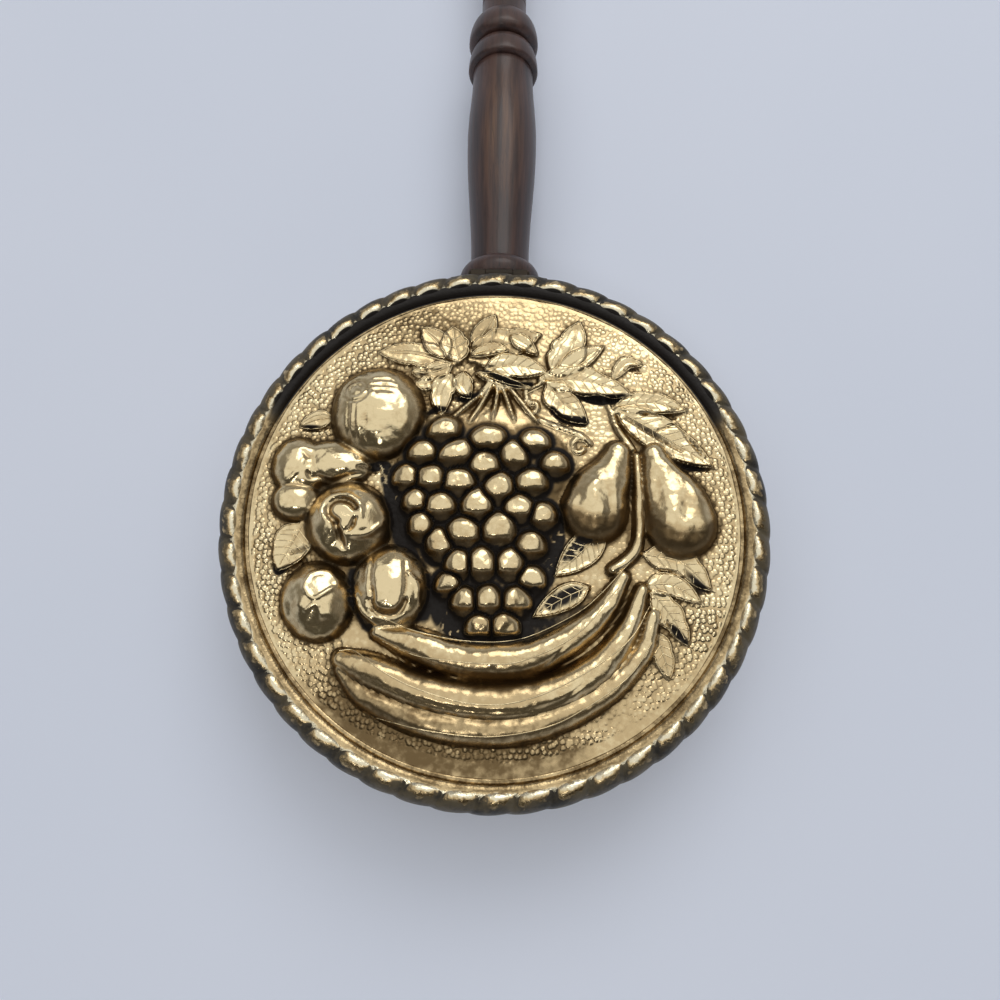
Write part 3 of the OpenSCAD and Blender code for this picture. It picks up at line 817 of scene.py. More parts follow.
# from here on each point is where it is seen, the half width and the height
PEARS = (
    [(40, 4.5, 13.8, 9.4), (42.5, 12, 12.6, 8.8), (47, 20, 9.0, 7.0), (50, 27.5, 5.8, 4.8)],
    [(74.5, -0.5, 14.8, 9.6), (72, 8.5, 13.4, 8.8), (67.5, 18, 9.2, 6.8), (64.5, 27, 5.4, 4.6)])
STEM_BETWEEN = [
    (57.3, 26, 2.0, 2.8), (57.5, 8, 2.4, 3.2), (57, -6, 2.6, 3.4), (54, -14, 2.8, 3.6),
    (46, -20, 2.6, 3.4)]
LOWEST_BANANA = [
    (-58, -58, 2.8, 3.0), (-48, -68, 5.0, 5.0), (-25, -77, 6.2, 6.2), (0, -80, 6.4, 6.4),
    (22, -76, 6.2, 6.0), (42, -66, 5.4, 5.2), (56, -52, 4.6, 4.6), (61, -38, 3.2, 3.4)]
BANANAS = (
    [(-58, -54, 4.2, 4.6), (-48, -58, 6.8, 6.8), (-25, -66.6, 7.6, 7.6), (0, -70, 7.8, 7.8),
     (22, -66.6, 7.6, 7.6), (40, -57, 6.6, 6.6), (51, -43.5, 5.0, 5.2), (57, -28, 3.0, 3.4)],
    [(-44, -43.5, 4.0, 4.8), (-31, -48.3, 6.6, 7.0), (-15, -53.6, 7.2, 7.8), (0, -54.8, 7.6, 8.0),
     (16, -52.8, 7.2, 7.8), (32, -44.4, 6.2, 6.8), (43, -34.4, 5.0, 5.4), (50, -23, 3.2, 3.6)])


def lay_fruit(H):
    for x, y, rx, ry, turn, height, boxy in ROUND_FRUIT:
        dome(H, x, y, rx, ry, turn, height, boxy, blend=0.5, side=0.6)
    for pear in PEARS:
        ridge(H, pear, n=14, roundness=2.3, blend=0.5, side=0.64)
    ridge(H, STEM_BETWEEN)
    ridge(H, LOWEST_BANANA, n=40, side=0.6)
    for banana in BANANAS:
        ridge(H, banana, n=40, roundness=2.3, blend=0.3, side=0.62)


# %% [markdown]
# The grapes sit on a low mound, packed so close that only dark seams show between them. They are
# flat on top and steep at the side, because a thin sheet can't be pressed into full balls, and the
# die cutter took a little more off in front, towards the bunch's tip, where each one is longer and
# stays dark, which the masks later add as painted shade. Each row below is one grape: where it is
# seen, its half widths and its lean.

# %% The bunch of grapes
GRAPES = [(-21, 37.5, 6.6, 5.0, 35), (-29.5, 27.7, 5.4, 4.9, 20), (-16, 27.2, 7.0, 5.0, 35),
          (-2.6, 33.6, 6.8, 5.5, 0), (7.8, 26.4, 5.1, 6.2, 20), (16.5, 32.5, 5.8, 5.2, -35),
          (24.5, 22.8, 5.4, 4.9, -30), (-36, 17.4, 5.0, 5.2, 0), (-25.7, 16.8, 5.5, 5.4, 0),
          (-14.2, 15.4, 6.0, 5.3, 0), (-4, 22.4, 5.6, 5.8, 0), (1.6, 12.5, 5.6, 6.4, -10),
          (15, 15.2, 6.0, 5.2, 0), (-6.8, 5.6, 5.6, 6.4, 0), (-32, 7.2, 4.8, 5.4, 0),
          (-21.9, 5.4, 5.7, 5.2, 0), (9.6, 4.5, 5.5, 5.5, 0), (19.6, 1.4, 4.9, 5.4, 0),
          (-29.6, -2.8, 4.7, 5.8, 5), (-12.3, -5.2, 6.0, 5.6, 0), (1.7, -4.3, 6.1, 6.6, 0),
          (-22.3, -9.9, 4.8, 6.2, 10), (14.6, -10.6, 5.6, 5.3, -20), (-14.4, -18.2, 4.9, 5.8, 0),
          (-5, -17.8, 5.0, 6.2, 0), (6.2, -17.8, 5.1, 6.0, 0), (-18.4, -25.6, 4.6, 4.8, -30),
          (14.8, -23.6, 4.9, 5.3, 0), (-12, -32.2, 4.9, 5.2, 0), (-2.7, -31.8, 4.9, 5.4, 0),
          (8.9, -32, 5.2, 5.4, 0), (-6.1, -42.4, 4.9, 4.7, 0), (4.2, -42.2, 5.2, 4.9, 0)]
GRAPE_RISE = 4.8
GRAPE_SEEN_AT, GRAPE_ROOM = 5, 8
GRAPE_SWELL, GRAPE_LONG = 1.26, 1.15
GRAPE_FRONT = 1.9
GROOVE_REACH, GROOVE_DEPTH = 1.6, 2.6
MOUND = ((-18, 24, 22), (2, 26, 22), (16, 22, 16), (-14, 6, 24), (4, 2, 22), (-4, -16, 19),
         (-3, -32, 13))
MOUND_RISE = 3.0

grape_front = np.zeros(X.shape)


def grape_mound():
    """The low swelling under the bunch, from circles of (x, y, radius)."""
    mound = np.zeros(X.shape)
    for x, y, r in MOUND:
        far = np.hypot(X - x, Y - y) / r
        mound = np.maximum(mound, MOUND_RISE * np.clip(1 - far ** 2, 0, 1) ** 0.6)
    return blurred(mound, 1.6)


def lay_grapes(H, mound):
    """Each grape over the mound, with a thin groove where two of them meet."""
    np.maximum(H, mound, out=H)
    highest, second = np.zeros(H.shape), np.zeros(H.shape)
    for x, y, rx, ry, turn in GRAPES:
        cx, cy = seen(x, y, GRAPE_SEEN_AT)
        w = window([cx], [cy], GRAPE_ROOM)
        u, v = turned(X[w] - cx, Y[w] - cy, turn)
        v = np.where(v < 0, v / GRAPE_LONG, v)
        reach = np.clip(np.hypot(u / rx, v / ry) / GRAPE_SWELL, 0, 1)
        rise = GRAPE_RISE * (1 - reach ** 3.2) ** 0.62
        front = np.clip((cy - Y[w]) / ry / 0.4 - 0.95, 0, 1) * (rise > 0)
        rise = np.where(rise > 0, np.maximum(rise - GRAPE_FRONT * front, 0.3), 0)
        second[w] = np.maximum(second[w], np.minimum(highest[w], rise))
        grape_front[w] = np.where(rise > highest[w], front, grape_front[w])
        highest[w] = np.maximum(highest[w], rise)
    groove = np.clip(1 - (highest - second) / GROOVE_REACH, 0, 1) * (second > 0)
    bunch = mound + np.maximum(highest - GROOVE_DEPTH * groove, 0.2)
    H[:] = np.where(highest > 0, np.maximum(H, bunch), H)


# %% [markdown]
# ### Marks, ground, dirt and painted shade
#
# Now the small cuts: the apples' crowns, the pomegranate's grooves, the stalks, and the deep slots
# under the leaves that make them stand off. Only what is deeper than the sheet's own roughness is
# cut here. Finer scratches belong to the finish.

# %% Marks on the pomegranate and the small fruit
def crown_ring(x, y, rx, ry, start, end, wide, depth):
    """Points of an open ring, from one angle to another."""
    turns = [math.radians(start + (end - start) * k / 7) for k in range(8)]
    return [(x + rx * math.cos(t), y + ry * math.sin(t), wide, depth) for t in turns]


def groove_all(H, cuts):
    for cut in cuts:
        groove(H, cut)


def dent_all(H, dents):
    for x, y, rx, ry, depth in dents:
        dent(H, x, y, rx, ry, depth)


def mark_pomegranate(H):
    """A ringed crown, three strokes beside it and upright grooves."""
    x, y = seen(-57, 54, 8)
    for radius, depth in ((4.9, 0.8), (2.3, 0.6)):
        H -= depth * np.clip(1 - np.abs(np.hypot(X - x, Y - y) - radius) / 0.9, 0, 1)
    for stroke_y in (58.6, 56.4, 54.4):
        groove(H, [(-51, stroke_y, 0.6, 0.5), (-45, stroke_y + 0.2, 0.8, 0.8),
                   (-40.5, stroke_y - 0.8, 0.5, 0.4)])
    for stroke_x in (-59.5, -57, -54.5, -52.6):
        groove(H, [(stroke_x, 49, 0.6, 0.4), (stroke_x - 0.3, 41, 0.8, 0.7),
                   (stroke_x + 0.4, 32, 0.6, 0.4)])


def mark_small_fruit(H):
    """The crease between its halves, its stalk, a hook, and the low welts beside them."""
    groove_all(H, (
        [(-73, 19, 0.8, 0.6), (-66, 16, 1.0, 1.2), (-60, 18.2, 0.9, 1.0), (-54, 19.5, 0.7, 0.6)],
        [(-77.5, 28.5, 1.0, 0.7), (-75.5, 26, 1.1, 0.9)],
        [(-75.3, 19.8, 1.0, 1.3), (-74.3, 17.8, 1.1, 1.4), (-72.2, 17.6, 0.9, 1.0)],
        [(-55, 22, 0.9, 1.1), (-48, 19.5, 0.9, 1.1)],
        [(-84, 15, 0.8, -0.4), (-79, 20.5, 0.9, -0.5), (-77, 25, 0.8, -0.4)],
        [(-66, 25, 0.7, -0.3), (-60.5, 24, 0.7, -0.35), (-60.5, 20.5, 0.7, -0.3)],
        [(-54, 24.5, 0.8, -0.8), (-51, 22, 0.8, -0.8)],
        [(-47.5, 25.5, 0.8, -0.8), (-45, 20, 0.8, -0.8)]))


# %% Marks on the apples
def mark_apples(H):
    """One has a ringed crown and a cleft, one a faceted cheek, and one an arched crown."""
    dent_all(H, (
        (-63, -9, 3.0, 4.4, 1.6), (-70, 7, 6.0, 4.0, 0.9), (-50, -9, 7.0, 3.6, 1.2),
        (-76.5, -20, 3.4, 3.4, 1.5), (-78.5, -33, 3.2, 5.0, 1.2), (-68, -42, 5.0, 3.4, 1.0),
        (-59, -36, 4.0, 5.0, 0.9), (-51.5, -22, 3.0, 6.5, 1.5), (-30.5, -18, 3.0, 4.6, 1.0),
        (-40, -40, 6.0, 3.0, 1.4)))
    groove_all(H, (
        crown_ring(-60.5, 3.5, 5.4, 4.4, 20, 250, 1.7, 2.1),
        [(-63, -2, 1.6, 1.8), (-61.5, -6, 1.9, 2.2), (-59, -11, 1.4, 1.4)],
        [(-55.5, 0.5, 1.2, 1.4), (-56.5, -2.5, 1.3, 1.6), (-58.5, -4.5, 1.0, 1.0)],
        [(-47.5, -15, 1.0, 0.8), (-48, -24, 1.2, 1.0), (-47, -31, 1.4, 1.3)],
        [(-35, -17, 1.0, 0.7), (-34.4, -25, 1.2, 1.0), (-35, -31, 1.3, 1.2)],
        [(-48, -32, 1.5, 1.5), (-45, -36.4, 1.8, 2.1), (-38, -36.8, 1.8, 2.1),
         (-34.4, -32, 1.4, 1.4)],
        crown_ring(-60.5, 3.5, 8.0, 6.8, -20, 200, 1.1, -0.7),
        [(-56, -6.5, 1.2, -0.8), (-50, -5.5, 1.3, -1.0), (-44.5, -1.5, 1.2, -0.8)],
        [(-73.5, -27, 1.0, -0.6), (-71.5, -22, 1.0, -0.7), (-65, -20.5, 1.0, -0.6),
         (-60.5, -25.5, 1.1, -0.8), (-64.5, -28, 1.0, -0.8), (-69.5, -31.5, 1.1, -0.8),
         (-73.5, -27, 1.0, -0.6)],
        [(-72.5, -36, 1.0, -0.6), (-68.5, -33, 1.0, -0.7), (-66, -38.5, 1.0, -0.5)],
        [(-53.5, -30, 1.1, -0.8), (-51, -36.5, 1.3, -1.0), (-45, -41, 1.1, -0.8)],
        [(-33.5, -21, 1.0, -0.7), (-29.5, -26, 1.2, -0.9), (-29.5, -32, 1.0, -0.6)]))


# %% Marks on the pears and the bananas
def mark_pears(H):
    """A fan of soft folds on each."""
    dent_all(H, (
        (34, 9, 2.4, 6.0, 0.9), (40, 12, 2.0, 7.0, -0.6), (46, 8, 2.2, 6.0, 0.9),
        (37, 1, 2.2, 4.0, 0.5), (45, 0, 2.0, 4.0, 0.5), (66, 12, 2.0, 7.0, 0.9),
        (71, 3, 3.0, 4.0, -0.5), (77, 8, 2.6, 6.0, 0.9), (70, -5, 2.4, 3.6, 0.6),
        (80, -4, 2.4, 3.6, 0.6), (62, 2, 2.4, 5.0, 0.8)))


def mark_bananas(H):
    """Three strokes above their tips at the left, and their long edges."""
    for stroke_x in (-66, -62.2, -58.8):
        groove(H, [(stroke_x, -46.5, 0.8, 0.7), (stroke_x + 1.2, -52.5, 0.8, 0.7)])
    for x0, y0, y1 in ((-50, -60.5, -73.2), (-38, -50.5, -60.2)):
        side = -x0 * 0.62
        groove(H, [(x0, y0, 0.6, 0.3), (-side * 0.8, y1 + 3.2, 0.7, 0.5), (0, y1, 0.7, 0.5),
                   (side * 0.8, y1 + 3.8, 0.7, 0.5), (-x0 - 2, y0 + 12, 0.6, 0.3)], n=30)


# %% Slots under the leaves
SLOTS = ([(-29, 43, 0.8, 1.0), (-24, 45.8, 1.1, 1.5), (-17, 45, 0.8, 1.0)],
         [(-16, 51.3, 0.9, 1.2), (-11, 50.6, 1.4, 1.8), (-5, 54.2, 0.8, 1.1)],
         [(-8, 64, 0.8, 1.0), (0, 60.4, 1.0, 1.4), (7, 56.9, 1.6, 2.0), (15, 57, 1.1, 1.4)],
         [(33.5, 52, 0.8, 1.1), (41, 50.2, 1.7, 2.1), (48, 50.2, 1.7, 2.1), (55, 52.2, 0.8, 1.1)],
         [(23.5, 46, 1.0, 1.3), (28, 42, 1.2, 1.7), (37, 40.8, 1.5, 2.0)],
         [(-34, 60.8, 0.8, 0.9), (-30, 61.6, 0.9, 1.2), (-27, 60.4, 0.7, 0.8)],
         [(54, 42.6, 0.9, 1.0), (64, 35.5, 1.0, 1.2), (76, 28, 0.7, 0.8)],
         [(66, 36.5, 0.7, 0.7), (74, 39, 0.7, 0.9), (81, 30.5, 0.8, 1.0), (85, 25, 0.7, 0.8)],
         [(60, 44.8, 0.8, 0.9), (67, 43.6, 0.9, 1.1), (74, 42.4, 0.7, 0.8)],
         [(73, 23, 0.8, 1.0), (79, 21, 1.2, 1.5), (87, 20.6, 0.8, 1.0)],
         [(54, 64, 0.7, 0.8), (57, 64.2, 0.9, 1.1), (60.5, 62.8, 0.7, 0.8)],
         [(-80, 38.6, 0.8, 0.9), (-75, 38, 1.0, 1.3), (-69, 38.4, 0.7, 0.9)],
         [(-87, -18, 0.9, 1.0), (-84, -21, 1.2, 1.4), (-80, -18.5, 0.9, 1.0)],
         [(-80, -13.5, 0.9, 1.0), (-74, -11.5, 1.0, 1.1)],
         [(74, -20.5, 0.9, 1.0), (79, -26, 1.1, 1.4), (83, -29, 0.9, 1.1)],
         [(66, -40, 0.8, 0.9), (69, -44, 1.3, 1.5), (73, -48.5, 1.0, 1.2)],
         [(60, -25, 0.7, 0.8), (66, -21, 0.8, 1.0), (73, -22.5, 0.8, 1.0), (80, -29, 0.9, 1.2)])


# %% [markdown]
# The ground between the forms is punched with small round pits, row upon row, so that it looks dull
# beside the smooth fruit. The pits are finer than the sheet's own mesh, so they belong to the
# finish, and only their mask is made here: crisp in some places, polished nearly flat in others,
# and none on the smooth band at the bottom.

# %% Where the ground is punched
def punched_mask(H):
    ground = 1 - blurred(np.clip((H - 0.3) / 0.8, 0, 1), 0.4)
    reach = np.hypot(X, Y)
    low_part = np.clip((30 - Y) / 30, 0, 1) * np.clip(1.6 - np.abs(X) / 45, 0, 1)
    inside = np.clip((field_r - 5.0 - reach) / 1.5 + 3 * (1 - low_part), 0, 1)
    crisp = np.clip(spot(-62, 62, 52, 52) + spot(88, 0, 18, 60) + spot(10, -88, 56, 8)
                    + spot(-86, -30, 16, 46) + spot(-60, -68, 30, 14, -40)
                    + 0.6 * spot(60, 70, 34, 20, -40) + 0.8 * spot(75, -45, 18, 30, -30), 0, 1)
    return ground * inside * (0.3 + 0.7 * crisp) * (0.35 + 0.9 * cloud(14, 11))


# %% The whole picture
def press_picture():
    H = np.zeros(X.shape)
    lay_leaves(H)
    lay_stems(H)
    leaves = H.copy()
    lay_fruit(H)
    mound = grape_mound()
    lay_grapes(H, mound)
    owner[H > leaves + 0.5] = -1
    for mark in (mark_pomegranate, mark_small_fruit, mark_apples, mark_pears, mark_bananas):
        mark(H)
    groove_all(H, SLOTS)
    H = blurred(H, 0.3)
    smooth = np.clip(H / 3, 0, 1)
    H += smooth * (1.8 * (cloud(14, 5) - 0.5) + 0.9 * (cloud(6, 6) - 0.5)
                   + 0.35 * (cloud(3.2, 8) - 0.5))
    H += 0.5 * np.clip(mound - 0.3, 0, 1) * (cloud(2.6, 13) - 0.5)
    H += (1 - smooth) * 0.6 * (cloud(9, 21) - 0.5) + 0.3 * (owner >= 0) * (cloud(2.2, 9) - 0.5)
    return H, mound


relief, mound = press_picture()
print(f"the relief runs from {relief.min():.2f} to {relief.max():.2f} mm; "
      f"the frame allows {fruit_top_z - field_z:.2f}")


# %% [markdown]
# Soot and tarnish gather where a polishing cloth doesn't reach. Soot is measured between the grapes
# and at the foot of every form, and it is painted with soft strokes where this lid is
# nearly black: in the crook beside the apples and round the small leaves. Tarnish is measured as
# well, from how far a place lies below its surroundings and how steep it is. The same masks also
# carry painted shade: on the front of each grape, on steep sides, and in a few soft strokes on the
# lower sides of the bananas and the pears; the strokes also darken the ground along the bottom.

# %% The mask for soot and painted shade
def painted(strokes):
    """A mask from strokes, each a list of (x, y, half width, strength) points."""
    mask = np.zeros(X.shape)
    for stroke in strokes:
        path = smooth_path(stroke, 20)
        w = window(path[:, 0], path[:, 1], 1.6 * path[:, 2].max() + 0.5)
        far, _, _, (half_w, strength) = along(path, w)
        mask[w] = np.maximum(mask[w], strength * np.clip(1.6 - far / half_w, 0, 1))
    return mask


# where soot is caught, beside the apples, the small fruit, the stem and the lower leaves
CROOKS = [
    [(-50, 21, 1.5, 0.8), (-44, 21, 2.5, 1), (-41, 11, 3.2, 1), (-37.5, -3, 3.4, 1),
     (-34, -13, 3.2, 1), (-28, -24, 3.6, 1), (-22, -34, 4.0, 1), (-14, -44, 4.0, 1),
     (0, -49, 2.6, 1), (12, -44, 3.4, 1)],
    [(-54, -22, 3.0, 0.9), (-53, -31, 3.0, 1), (-48, -41, 2.6, 1)],
    [(-46, -33, 3.0, 0.9), (-38, -38, 2.8, 0.9), (-28, -36, 4.0, 0.9)],
    [(-66, -9, 2.2, 0.8), (-58, -14, 2.4, 0.8)], [(-66, -3, 1.6, 0.8), (-63, 2, 1.3, 0.8)],
    [(25, 1, 1.8, 0.8), (25, -9, 2.6, 1), (22, -20, 2.8, 1), (16, -30, 3.2, 1), (14, -38, 3.4, 1)],
    [(28, -14, 3.4, 0.9), (36, -9, 3.0, 0.8)], [(22, -33, 3.0, 0.9), (31, -29, 2.6, 0.8)],
    [(12, -42, 3.4, 0.8), (24, -40, 3.0, 0.6), (36, -31, 2.6, 0.4)]]
BANANAS_AT = (0, -64, 62, 24)
SEAM_SEEN_AT = 3
CLEAN_ABOVE = 3.4


def grape_seams_and_front_shade():
    """Soot between the grapes and painted shade on each grape's front, from the bunch's tip up to
    its shoulders.
    """
    bunch = np.zeros(X.shape)
    for x, y, rx, ry, _ in GRAPES:
        cx, cy = seen(x, y, SEAM_SEEN_AT)
        reach = np.hypot((X - cx) / (rx + 2), (Y - cy) / (ry + 2))
        bunch = np.maximum(bunch, np.clip(3 * (1.25 - reach), 0, 1))
    above = relief - mound
    seam = np.clip((blurred(relief, 1.2) - relief - 0.15) / 0.5, 0, 1)
    low = np.maximum(np.clip((2.4 - above) / 1.4, 0, 1), seam)
    # half of grape_front is painted shade on the front of each grape
    return bunch * (np.maximum(low, 0.5 * grape_front) * np.clip((44 - Y) / 10, 0, 1))


def soot_and_shade_mask():
    """Soot in the seams of the bunch, in the crooks, in the slots and at the foot of every form,
    with painted shade on the grapes' fronts.
    """
    crook = painted(CROOKS)
    slots = painted([[(x, y, 1.1 * w, np.clip(1.1 * depth - 0.7, 0, 0.9))
                      for x, y, w, depth in slot] for slot in SLOTS])
    clean = np.clip((relief - mound - CLEAN_ABOVE) / 1.2, 0, 1)
    texture = cloud(3.0, 31)
    leaf_shine = np.clip((relief - blurred(relief, 0.9)) / 0.3, 0, 1)
    rubbed = (np.clip((cloud(1.5, 33) - 0.56) / 0.06, 0, 1)
              * np.clip((cloud(9, 34) - 0.4) / 0.2, 0, 1))
    crook *= ((1 - 0.9 * clean) * (0.8 + 0.5 * texture) * (1 - 0.75 * leaf_shine)
              * (1 - 0.7 * rubbed))
    foot = 0.62 * np.clip((blurred(relief, 1.5) - relief - 0.5) / 0.7, 0, 1)
    foot *= np.clip(blurred(relief, 3.0) / 3 - 0.3, 0, 1)
    foot *= 1 - np.clip(1.8 * spot(*BANANAS_AT), 0, 0.9)
    return np.clip(np.maximum.reduce([grape_seams_and_front_shade(), crook, slots, foot]), 0, 1)


# %% The mask for tarnish and painted shade
# painted shade along the lower sides of the bananas and at the foot of the pears, and one stroke
# that darkens the ground along the bottom
BROWN_AND_SHADE_STROKES = [
    [(-56, -64, 6, 0.4), (-25, -80, 7, 0.5), (0, -83, 7, 0.5), (25, -79, 6, 0.4),
     (44, -66, 5, 0.2)],
    [(-60, -74, 7, 0.6), (-30, -90, 8, 1.0), (0, -94, 7, 1.0), (30, -90, 6, 0.7)],
    [(-30, -57, 4, 0.5), (0, -63, 4, 0.6), (26, -57, 4, 0.4)],
    [(29, 1, 2.6, 1.2), (35, -3, 3.0, 1.4), (44, -3.5, 3.0, 1.4), (51, 0, 2.4, 1.0)],
    [(62, -5, 2.8, 1.1), (69, -9.5, 3.6, 1.4), (79, -10, 3.6, 1.4), (86, -5, 2.6, 1.0)]]


def tarnish_and_shade_mask():
    """Hollows and the punched ground are browner, and sloping sides are browner from tarnishing and
    painted shade. The grapes' fronts and the strokes add painted shade.
    """
    hollow = np.clip((blurred(relief, 1.6) - relief) / 1.0, 0, 1)
    slope_y, slope_x = np.gradient(blurred(relief, 0.5), PITCH)
    # steep sides darken partly from tarnish and partly as painted shade
    steep_tarnish_and_shade = np.clip(np.hypot(slope_x, slope_y) - 0.45, 0, 1)
    ground = np.clip(1.6 - relief / 1.6, 0, 1)
    browned = (0.4 * spot(-30, -66, 46, 14) + 0.5 * spot(-25, 78, 24, 14)
               + 0.45 * spot(10, 88, 60, 12) + 0.3 * spot(57, 6, 34, 20))
    # painted shade on the lower sides of the bananas and the pears, and a darker band of ground at
    # the bottom
    strokes = painted(BROWN_AND_SHADE_STROKES) * (0.6 + 0.8 * cloud(4.0, 35))
    bananas = np.clip(2 * spot(*BANANAS_AT), 0, 1)
    on_mound = np.clip(mound / 1.2, 0, 1)
    bunch = np.clip((4.0 - relief + mound) / 1.2, 0, 1) * on_mound * np.clip((42 - Y) / 8, 0, 1)
    # 0.8 * grape_front is painted shade on the front of each grape
    dullness_and_painted_light = 0.8 * grape_front + 0.14 * on_mound + 0.16 * ground + 0.5 * browned + 0.7 * strokes
    worn_less_and_shaded = bunch + (0.9 * hollow + steep_tarnish_and_shade) * (1 - 0.7 * bananas) + 0.2 * bananas + dullness_and_painted_light
    return np.clip(worn_less_and_shaded, 0, 1)


tarnish_and_shade = tarnish_and_shade_mask()
punched = punched_mask(relief)
soot_and_shade = soot_and_shade_mask()
print(f"tarnish covers {tarnish_and_shade.mean():.0%} and soot {soot_and_shade.mean():.0%} of the raster")

# %% [markdown]
# ## The lid's field as a sheet
#
# The picture is now a height at every quarter of a millimetre. The sheet that carries it is a disc,
# and a disc meshes badly in rings: the middle gets slivers and the edge gets long faces. A square
# grid that is gently squeezed into a circle keeps its faces nearly square everywhere, so the polish
# shows no facets. The underside is the same sheet a thickness lower, as a pressing really is, with
# fewer points. It follows the lowest ground near each of them, so it never comes up through the top
# between two grapes, and the two sheets are sewn together round the edge.

# %% A disc of nearly square faces
TOP_GRID = 300
UNDER_GRID = 75
EDGE_TUCK = 0.75
LOWEST_STEPS = 6
UNDER_DEPTH, UNDER_SOFT = 0.9, 0.8
UNDERSIDE = {"tarnish_and_shade": 0.55, "soot_and_shade": 0.0, "punched": 0.0}


def disc_grid(n, radius):
    """The points of an n by n grid squeezed into a circle, and its faces."""
    a, b = np.meshgrid(np.linspace(-1, 1, n + 1), np.linspace(-1, 1, n + 1), indexing="ij")
    wide = np.abs(a) > np.abs(b)
    reach = np.where(wide, a, b)
    safe = np.where(reach == 0, 1, reach)
    turn = np.where(wide, np.pi / 4 * b / safe, np.pi / 2 - np.pi / 4 * a / safe)
    x, y = radius * reach * np.cos(turn), radius * reach * np.sin(turn)
    i, j = np.meshgrid(np.arange(n), np.arange(n), indexing="ij")
    first = (i * (n + 1) + j).ravel()
    faces = np.stack([first, first + n + 1, first + n + 2, first + 1], 1)
    return x.ravel(), y.ravel(), faces


def rim_of(n):
    """The numbers of the grid's outer points, in order round the edge."""
    row = n + 1
    sides = [np.arange(n) * row, n * row + np.arange(n), (n - np.arange(n)) * row + n,
             n - np.arange(n)]
    return np.concatenate(sides)


def sampled(raster, x, y):
    """The raster's value at points given in the lid's own frame, between its pixels."""
    turn = math.radians(-PICTURE_TURN)
    u = (x * math.cos(turn) - y * math.sin(turn) + half) / PITCH
    v = (x * math.sin(turn) + y * math.cos(turn) + half) / PITCH
    i, j = u.astype(int), v.astype(int)
    fu, fv = u - i, v - j
    return ((raster[j, i] * (1 - fu) + raster[j, i + 1] * fu) * (1 - fv)
            + (raster[j + 1, i] * (1 - fu) + raster[j + 1, i + 1] * fu) * fv)


def lowest_near(raster, steps):
    """Each pixel's lowest neighbour, that many steps away."""
    for _ in range(steps):
        raster = np.minimum.reduce([raster]
                                   + [np.roll(raster, way, axis) for way in (1, -1)
                                      for axis in (0, 1)])
    return raster


def pressed_sheet(name, relief, masks):
    """The lid's field as a closed sheet, with each mask as an attribute."""
    radius = field_r + EDGE_TUCK
    tx, ty, top_faces = disc_grid(TOP_GRID, radius)
    ux, uy, under_faces = disc_grid(UNDER_GRID, radius)
    top_z = field_z + sampled(relief, tx, ty)
    under = blurred(lowest_near(relief, LOWEST_STEPS), UNDER_SOFT)
    under_z = field_z - sheet_t + UNDER_DEPTH * sampled(under, ux, uy)
    points = np.vstack([np.stack([tx, ty, top_z], 1), np.stack([ux, uy, under_z], 1)])
    shift = len(tx)
    faces = top_faces.tolist() + (under_faces[:, ::-1] + shift).tolist()
    top_rim, under_rim = rim_of(TOP_GRID), rim_of(UNDER_GRID) + shift
    step = TOP_GRID // UNDER_GRID
    for k in range(len(under_rim)):
        low, low_next = int(under_rim[k]), int(under_rim[(k + 1) % len(under_rim)])
        high = [int(top_rim[(k * step + m) % len(top_rim)]) for m in range(step + 1)]
        faces.append((low, low_next, *high[::-1]))
    thing = make_mesh(name, points, faces)
    face_outwards(thing)
    for key, raster in masks.items():
        values = np.concatenate([sampled(raster, tx, ty), np.full(len(ux), UNDERSIDE[key])])
        layer = thing.data.attributes.new(key, "FLOAT", "POINT")
        layer.data.foreach_set("value", values.astype(np.float32))
    return thing


lid_field = pressed_sheet("lid_field", relief,
                          {"tarnish_and_shade": tarnish_and_shade, "soot_and_shade": soot_and_shade, "punched": punched})
lid_finish = lid_brass()
lid_field.data.materials.append(lid_finish)
report(lid_field)

# %% [markdown]
# ## The rope border
#
# The border is pressed from the same sheet as the field: a rounded tube whose outside is twisted
# like a rope. A rope is a rule, not a shape to draw: the same lobe again and again round a circle,
# each leaning a little. That is Geometry Nodes' kind of work. One half section of the border is
# drawn as a curve, a flat strip of points is bent round the circle along it, and every point that
# lies between two lobes is pushed in towards the section's middle. The sizes are named inputs of
# the modifier.

# %% The half section of the border
RIDGE_H = 0.35
CREST_SHIFT = 2.4


def border_section():
    """The outer side from the field over the crest to the skirt's edge, and the inner side back."""
    inner_dish, inner_r = dish_r - sheet_t, border_r - sheet_t
    dish_z = field_z + crest_h - dish_r
    foot_r, crest_r = field_r + 0.25, border_c + CREST_SHIFT
    outer = [(foot_r - 0.4, field_z - 0.3), (foot_r, field_z + RIDGE_H),
             (foot_r + 0.45, field_z + RIDGE_H + 0.05)]
    rise = swell(foot_r + 0.9, field_z + 0.25, crest_r, field_z + crest_h, 16)
    outer += [(r, z) for z, r in rise]
    outer += arc(crest_r, border_z, lid_r - crest_r, border_r, 84, 0, 30)
    outer += [(lid_r, border_z - 1.6), (lid_r, skirt_z + 1.2), (lid_r - 0.15, skirt_z + 0.3)]
    outer += arc(lid_r - sheet_t / 2, skirt_z + 0.3, sheet_t / 2 - 0.1, 0.3, 0, -180, 8)
    inner = [(lid_r - sheet_t, skirt_z + 0.5), (lid_r - sheet_t, border_z - 1)]
    inner += arc(border_c, border_z, inner_r, inner_r, 0, 84, 14)
    inner += arc(border_c, dish_z, inner_dish, inner_dish, 90, 165, 8)
    inner += [(foot_r + 1.0, field_z - 1.0), (foot_r - 0.4, field_z - 1.0)]
    return outer, inner


